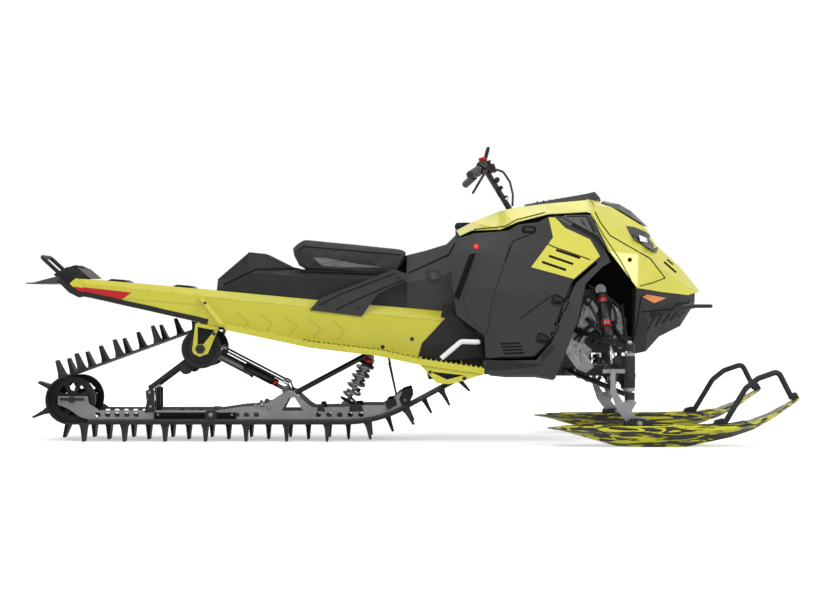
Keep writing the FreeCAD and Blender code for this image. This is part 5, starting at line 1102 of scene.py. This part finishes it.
def make_rail_details():
    """The rails' inserts, clips, posts, stops, bolts and nuts."""
    insert, heads, clips = [], [], []
    first, last = [spot(px, 0, RAIL_PLANE).x for px in INSERT_COLUMNS]
    middle = spot(CLIP_COLUMN, 0, RAIL_PLANE).x
    for _, side in SIDES:
        insert += [outer_slab(oblong(first, last, 0.0975, 0.126), side, RAIL_FACE, 0.004),
                   outer_slab(oblong(first, last, 0.108, 0.1135), side, RAIL_FACE, 0.0065)]
        clips.append(outer_slab([(middle + dx, z) for dx, z in CLIP], side, RAIL_FACE, 0.012))
        heads += bolt((middle, side * (RAIL_FACE + 0.012), 0.116), (0, side, 0), 0.007, 0.006)
        for pixel in RAIL_BOLTS:
            place = spot(*pixel, RAIL_PLANE)
            heads += bolt((place.x, side * RAIL_FACE, place.z), (0, side, 0), 0.0062, 0.005)
    made("rail_inserts", insert, "seam")
    plates("link_posts", "coat", POST_FACE, -0.1485)
    knobs = []
    for px, py, radius in POST_BOLTS:
        place = spot(px, py, POST_FACE)
        knobs.append(knob(place, place + Vector((0, -0.005, 0)), radius, radius * 0.6, 0.7, 12))
    on_both("post_bolts", knobs, "alloy")
    on_both("rail_stops", [plate(FRONT_STOP, -0.153, -0.137)] + [plate(stop, -0.156, -0.134) for stop in STOPS],
            "rubber")
    nuts = []
    for px, py, radius, out in SKID_NUTS:
        place = spot(px, py, -0.137 - out)
        root = Vector((place.x, max(place.y, -0.148), place.z))
        nuts.append(knob(root, place + Vector((0, -0.008, 0)), radius, radius * 0.6, 0.7, 8))
    on_both("skid_nuts", nuts, "alloy")
    made("rail_clips", clips, "coat")
    made("rail_bolts", heads, "alloy")


def make_skid_details():
    """Dampers, rail fittings, rollers, track adjusters and the carrier wheels' nuts."""
    make_skid_dampers()
    make_rail_details()
    rollers, adjusters, nuts = [], [], []
    place = spot(*ROLLER, -0.17)
    first, last = [spot(px, 0, RAIL_PLANE).x for px in ADJUSTER_COLUMNS]
    for _, side in SIDES:
        rollers.append(drum(*[(place.x, side * out, place.z) for out in ROLLER_SPAN], 0.028, 0.008, 0.1, 24))
        y = side * (RAIL_Y + 0.0155)
        adjusters += [knob((IDLER[0], y, IDLER[2]), (IDLER[0], y + side * 0.006, IDLER[2]), 0.016, 0.009, 0.7, 6),
                      outer_slab(oblong(first, last, 0.178, 0.19), side, RAIL_Y + 0.005, 0.005)]
        y = side * 0.2265
        nuts.append(turned((CARRIER[0], y, CARRIER[2]), (CARRIER[0], y + side * 0.01, CARRIER[2]), CARRIER_NUT, 6))
    made("small_rollers", rollers, "rubber", smooth=True)
    made("rail_adjusters", adjusters, "coat")
    made("carrier_bolts", nuts, "coat")


# Front suspension

DAMPER = ((0.849, -0.1904, 0.6677), (0.9007, -0.3349, 0.2904))
RINGS = ((0.1, 0.145, 0.0255), (0.36, 0.385, 0.0245), (0.405, 0.43, 0.0245))  # shares of the damper and radius
SLEEVES = ((0.05, 0.1, 0.0235), (0.15, 0.36, 0.0245), (0.43, 0.56, 0.0255), (0.56, 0.6, 0.021))
YOKES = ((0.86, 0.9, 0.021), (0.9, 0.93, 0.017))
KINGPIN = (0.952, -0.432)
KINGPIN_SPAN = (0.245, 0.386)
KINGPIN_SLEEVE = ((0, 0.02), (0.03, 0.0238), (0.3, 0.0238), (0.34, 0.0255), (0.42, 0.0255), (0.46, 0.0238),
                  (0.97, 0.0238), (1, 0.02))
LOWER_JOINT = 0.212
UPPER_JOINT = 0.418
ARM_PIVOTS = ((0.92, 0.308, LOWER_JOINT), (0.717, 0.308, LOWER_JOINT), (0.904, 0.506, UPPER_JOINT),
              (0.695, 0.506, UPPER_JOINT))  # X and Z at the frame, and the height at the kingpin
ARM_RINGS = (0.16, 0.3, 0.62)
FOIL_PLANE = -0.102
FOIL_FACE = -0.1035
FOIL_RINGS = 5
FOILS = (((583, 304), (589, 307), (592, 300), (599, 309), (594, 316), (600, 327), (592, 331), (586, 338),
          (583, 329), (577, 326), (581, 315)),
         ((567, 337), (573, 331), (579, 336), (586, 333), (584, 343), (592, 350), (588, 358), (594, 367),
          (586, 373), (577, 369), (571, 361), (565, 352), (569, 345)),
         ((612, 303), (618, 309), (622, 306), (627, 322), (624, 334), (627, 345), (619, 349), (614, 338),
          (617, 328), (611, 318)))
PIPES = (((566, 300), (582, 296), (598, 322), (594, 340)), ((578, 342), (592, 326), (612, 336), (622, 341)),
         ((600, 290), (620, 308), (626, 330), (618, 342)), ((586, 284), (606, 296), (616, 318), (604, 340)))
PIPE_CLAMPS = ((596, 336), (613, 337), (588, 300), (624, 320))
BRACES = (((586, 318), (612, 344), 0.009), ((617, 322), (592, 345), 0.008), ((580, 333), (626, 345), 0.007),
          ((603, 318), (604, 346), 0.006), ((622, 304), (627, 345), 0.008), ((574, 340), (594, 322), 0.006))


def crumpled(outline):
    """A crumpled sheet of foil inside an outline of pixels."""
    ring = [(p.x, p.z) for p in (spot(px, py, FOIL_PLANE) for px, py in outline)]
    count = len(ring)
    middle_x, middle_z = [sum(p[i] for p in ring) / count for i in (0, 1)]
    verts = []
    for r in range(FOIL_RINGS):
        share = 1 - r / FOIL_RINGS
        for x, z in ring:
            px, pz = middle_x + (x - middle_x) * share, middle_z + (z - middle_z) * share
            verts.append((px, FOIL_FACE - 0.004 * noise.noise(Vector((px * 60, pz * 60, 3))), pz))
    total = len(verts)
    front = tube_faces(FOIL_RINGS, count)
    del front[-2]  # the outer ring's end, which would close the sheet over itself
    rim = [(k, k + total, (k + 1) % count + total, (k + 1) % count) for k in range(count)]
    back = [tuple(reversed([i + total for i in face])) for face in front]
    return verts + [(x, y + 0.0016, z) for x, y, z in verts], front + back + rim


def make_damper_details():
    """Rings, sleeves and shafts of the two front dampers."""
    red, black, steel = [], [], []
    for _, side in SIDES:
        line = [(x, -side * y, z) for x, y, z in DAMPER]
        red += [drum(*stretch(line, a, b), r, 0.002, 0.2, 22) for a, b, r in RINGS]
        black += [drum(*stretch(line, a, b), r, 0.003, 0.1, 22) for a, b, r in SLEEVES]
        steel.append(rod(*stretch(line, 0.6, 0.9), 0.0105, 16))
    made("damper_rings", red, "red", smooth=True)
    made("damper_sleeves", black, "coat", smooth=True)
    made("damper_shafts", steel, "steel", smooth=True)


def make_front_details():
    """Damper parts, foil, pipes and braces in the bay, and rings, sleeves and bolts on the arms."""
    make_damper_details()
    on_both("heat_shields", [crumpled(outline) for outline in FOILS], "foil")
    pipes = [swept(smooth_path([spot(px, py, -0.125) for px, py in route], 5), 0.0055) for route in PIPES]
    on_both("arch_pipes", pipes, "cable", smooth=True)
    clamps = []
    for pixel in PIPE_CLAMPS:
        place = spot(*pixel, -0.13)
        clamps.append(knob(place, place + Vector((0, -0.012, 0)), 0.01, 0.007, 0.8, 8))
    on_both("pipe_clamps", clamps, "alloy")
    on_both("frame_braces", [swept([spot(*a, -0.135), spot(*b, -0.14)], r, 10) for a, b, r in BRACES], "coat")
    sleeve = [turned(*[(*KINGPIN, z) for z in KINGPIN_SPAN], KINGPIN_SLEEVE),
              plate(OUTLINES["kingpin_guard"], -0.408, -0.402, at=-0.404)]
    on_both("kingpin_sleeves", sleeve, "rubber", SKI_BODIES, True)
    rings, heads = [], []
    for x, z, rise in ARM_PIVOTS:
        arm = (x, -0.102, z), (*KINGPIN, rise)
        rings += [drum(*stretch(arm, share, share + 0.035), 0.0145, 0.002, 0.2, 14) for share in ARM_RINGS]
        heads += bolt((x + 0.024, -0.112, z), (1, 0, 0), 0.008, 0.008)
    on_both("arm_rings", rings, "coat", smooth=True)
    on_both("damper_yokes", [drum(*stretch(DAMPER, a, b), r, 0.004, 0.2, 18) for a, b, r in YOKES], "coat",
            smooth=True)
    heads += bolt((*KINGPIN, UPPER_JOINT + 0.0215), UP, 0.009, 0.008)
    on_both("arm_bolts", heads, "steel")


# Skis

SKI_Y = 0.47
SADDLE = (0.925, 1.045)
SADDLE_FOOT = 0.0855
SADDLE_Y = (0.034, 0.052)
SADDLE_BOLT = (0.985, 0.0525, 0.1)
LOOP_FEET = (((788.5, 394.5), (796.5, 392.5), (800, 398.5), (794, 402)),
             ((712, 427.5), (716, 420.5), (723.5, 418.5), (728, 425)))
KEEL = (0.7, 0.76, 0.82, 0.9, 1.0, 1.08, 1.15, 1.21, 1.27)
RIBS = (-0.06, -0.03, 0.03, 0.06)
RIB_GAP = (0.9, 1.07)  # where the inner ribs leave room for the saddle
RIB_START = 0.66
RIB_STEP = 0.065
RIB_TAPER = (1.25, 1.6)  # where the ribs start to close in, and how fast


def saddle_outline(front_top, rear_top):
    """The side view of one cheek of the saddle."""
    return [(SADDLE[0], SADDLE_FOOT), (SADDLE[1], SADDLE_FOOT), (1.04, 0.104), (1.0, front_top), (0.95, rear_top),
            (SADDLE[0], 0.104)]


def ski_ribs(node, y):
    """Raised ribs along a ski's deck."""
    parts = []
    for off in RIBS:
        line = []
        for i in range(13):
            x = RIB_START + i * RIB_STEP
            hit = below(node, x, y + off * (1 - max(0, x - RIB_TAPER[0]) * RIB_TAPER[1]))
            if hit is not None:
                line.append(hit + UP * 0.0012)
        lines = [line]
        if abs(off) < max(RIBS):
            lines = [[p for p in line if p.x < RIB_GAP[0]], [p for p in line if p.x > RIB_GAP[1]]]
        parts += [swept(smooth_path(route, 3), 0.0045, 6) for route in lines if len(route) > 2]
    return parts


def make_ski_details():
    """The saddle, its bolts, the keel's runner and the raised ribs on the deck."""
    for name, side in SIDES:
        y = side * SKI_Y
        body = name + "_ski"
        node = "ski_" + name
        saddle = [slab(saddle_outline(*tops), *sorted(y + way * out for out in SADDLE_Y))
                  for way, tops in ((side, (0.12, 0.122)), (-side, (0.112, 0.112)))]
        made("ski_saddle_" + name, saddle, "plastic", body)
        heads = []
        for way in (-1, 1):
            heads += bolt((SADDLE_BOLT[0], y + way * SADDLE_BOLT[1], SADDLE_BOLT[2]), (0, way, 0), 0.008, 0.007)
        made("saddle_bolts_" + name, heads, "alloy", body)
        feet = [plate(outline, -0.49, -0.45) for outline in LOOP_FEET]
        made("loop_feet_" + name, feet if side < 0 else [flipped(part) for part in feet], "plastic", body)
        hits = [tree_of(node).ray_cast(Vector((x, y, -0.5)), UP)[0] for x in KEEL]
        keel = [(hit.x, y, max(hit.z + 0.001, 0.0048)) for hit in hits if hit is not None]
        made("ski_runner_" + name, [swept(smooth_path(keel, 4), 0.0045)], "steel", body, True)
        made("ski_ribs_" + name, ski_ribs(node, y), "ski", body, True)


# Handlebar

STOP_BUTTON = ((0, 0.014), (0.35, 0.014), (0.4, 0.018), (0.9, 0.018), (1, 0.014))
BRAKE_CUP = ((0, 0.018), (0.1, 0.021), (0.8, 0.021), (0.85, 0.0235), (1, 0.0235))
RISER = ((507, 201), (493, 172))  # the pixels of its foot and its head
RISER_KNOBS = ((0.1, 0.011), (0.45, 0.009), (0.72, 0.012))


def make_bar_details():
    """The stop button, the switch blocks, the brake's cup and the knobs and link on the riser."""
    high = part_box("handlebar")[1]
    button = Vector((high.x - 0.015, -0.055, high.z + 0.006))
    made("stop_button", [turned(button, button + Vector((-0.006, 0, 0.022)), STOP_BUTTON)], "red", "steering", True)
    blocks = []
    for side, wide in ((-1, 0.05), (1, 0.06)):
        blocks.append(drum((high.x - 0.017, side * 0.085, high.z - 0.011),
                           (high.x - 0.029, side * (0.085 + wide), high.z - 0.017), 0.022, 0.006, 0.1, 14))
    cup = Vector((high.x + 0.009, 0.126, high.z - 0.005))
    blocks.append(turned(cup, cup + Vector((-0.006, 0, 0.028)), BRAKE_CUP, 18))
    foot, head = [spot(*pixel, 0) for pixel in RISER]
    boss = []
    for _, side in SIDES:
        for share, radius in RISER_KNOBS:
            place = between(foot, head, share) + Vector((0, side * 0.022, 0))
            blocks.append(knob(place, place + Vector((0, side * 0.012, 0)), radius, radius * 0.7, 0.8, 14))
        place = between(foot, head, 0.06) + Vector((0, side * 0.035, 0))
        boss.append(turned(place, place + Vector((0, side * 0.003, 0)), ((0, 0.0075), (1, 0.006)), 14))
    made("riser_bosses", boss, "steel", "steering", True)
    link = [head + Vector((-0.014, -0.03, -0.02)), between(head, foot, 0.86) + Vector((-0.026, -0.03, 0))]
    made("riser_link", [swept(link, 0.0035)], "coat", "steering", True)
    made("switch_blocks", blocks, "plastic", "steering", True)


# Fasteners, and the tank with its cap

BRACKET_BOLTS = {  # pixels and radius, under the node that each bolt sits on
    "side_struts": ((324, 304, 0.006), (358, 307.7, 0.006), (399, 277.5, 0.006)),
    "tunnel_brackets": ((203, 331, 0.005), (214, 334, 0.005), (464.5, 378.5, 0.006), (430, 372, 0.005),
                        (205, 303, 0.005)),
}
CAP_RIBS = 24


def make_fasteners():
    """Bolts on brackets and struts, the tank's latch and creases, and the fuel cap's ribs and grip."""
    heads = []
    for node, rows in BRACKET_BOLTS.items():
        for px, py, radius in rows:
            place, normal = seen_at(px, py, node)
            if place is not None:
                heads += bolt(place, normal, radius, radius * 0.8)
    on_both("bracket_bolts", heads, "coat")
    sheet("tank_recess", "coat", "fuel_tank", off=0.0012, thick=0.002, step=4)
    sheet("tank_latch", "panel", "fuel_tank", off=0.0026, thick=0.005, step=4)
    strips("tank_creases", "seam", "fuel_tank", thick=0.0016)
    low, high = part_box("fuel_cap")
    centre = Vector(((low.x + high.x) / 2, 0, high.z))
    radius = (high.x - low.x) / 2
    ribs = []
    for k in range(CAP_RIBS):
        a = 2 * math.pi * k / CAP_RIBS
        top = centre + Vector((math.cos(a) * radius, math.sin(a) * radius, -0.003))
        ribs.append(rod(top + DOWN * 0.016, top, 0.003, 6))
    grip = turned(centre, centre + UP * 0.006, ((0, radius * 0.96), (0.6, radius * 0.94), (1, radius * 0.8)), 28)
    made("fuel_cap_ribs", ribs + [grip], "plastic", smooth=True)


make_stage()
dress_nodes()
make_cushion()
make_liners()
make_panel_art()
make_hood_details()
make_tunnel_details()
make_seat_details()
make_skid_details()
make_front_details()
make_ski_details()
make_bar_details()
make_fasteners()
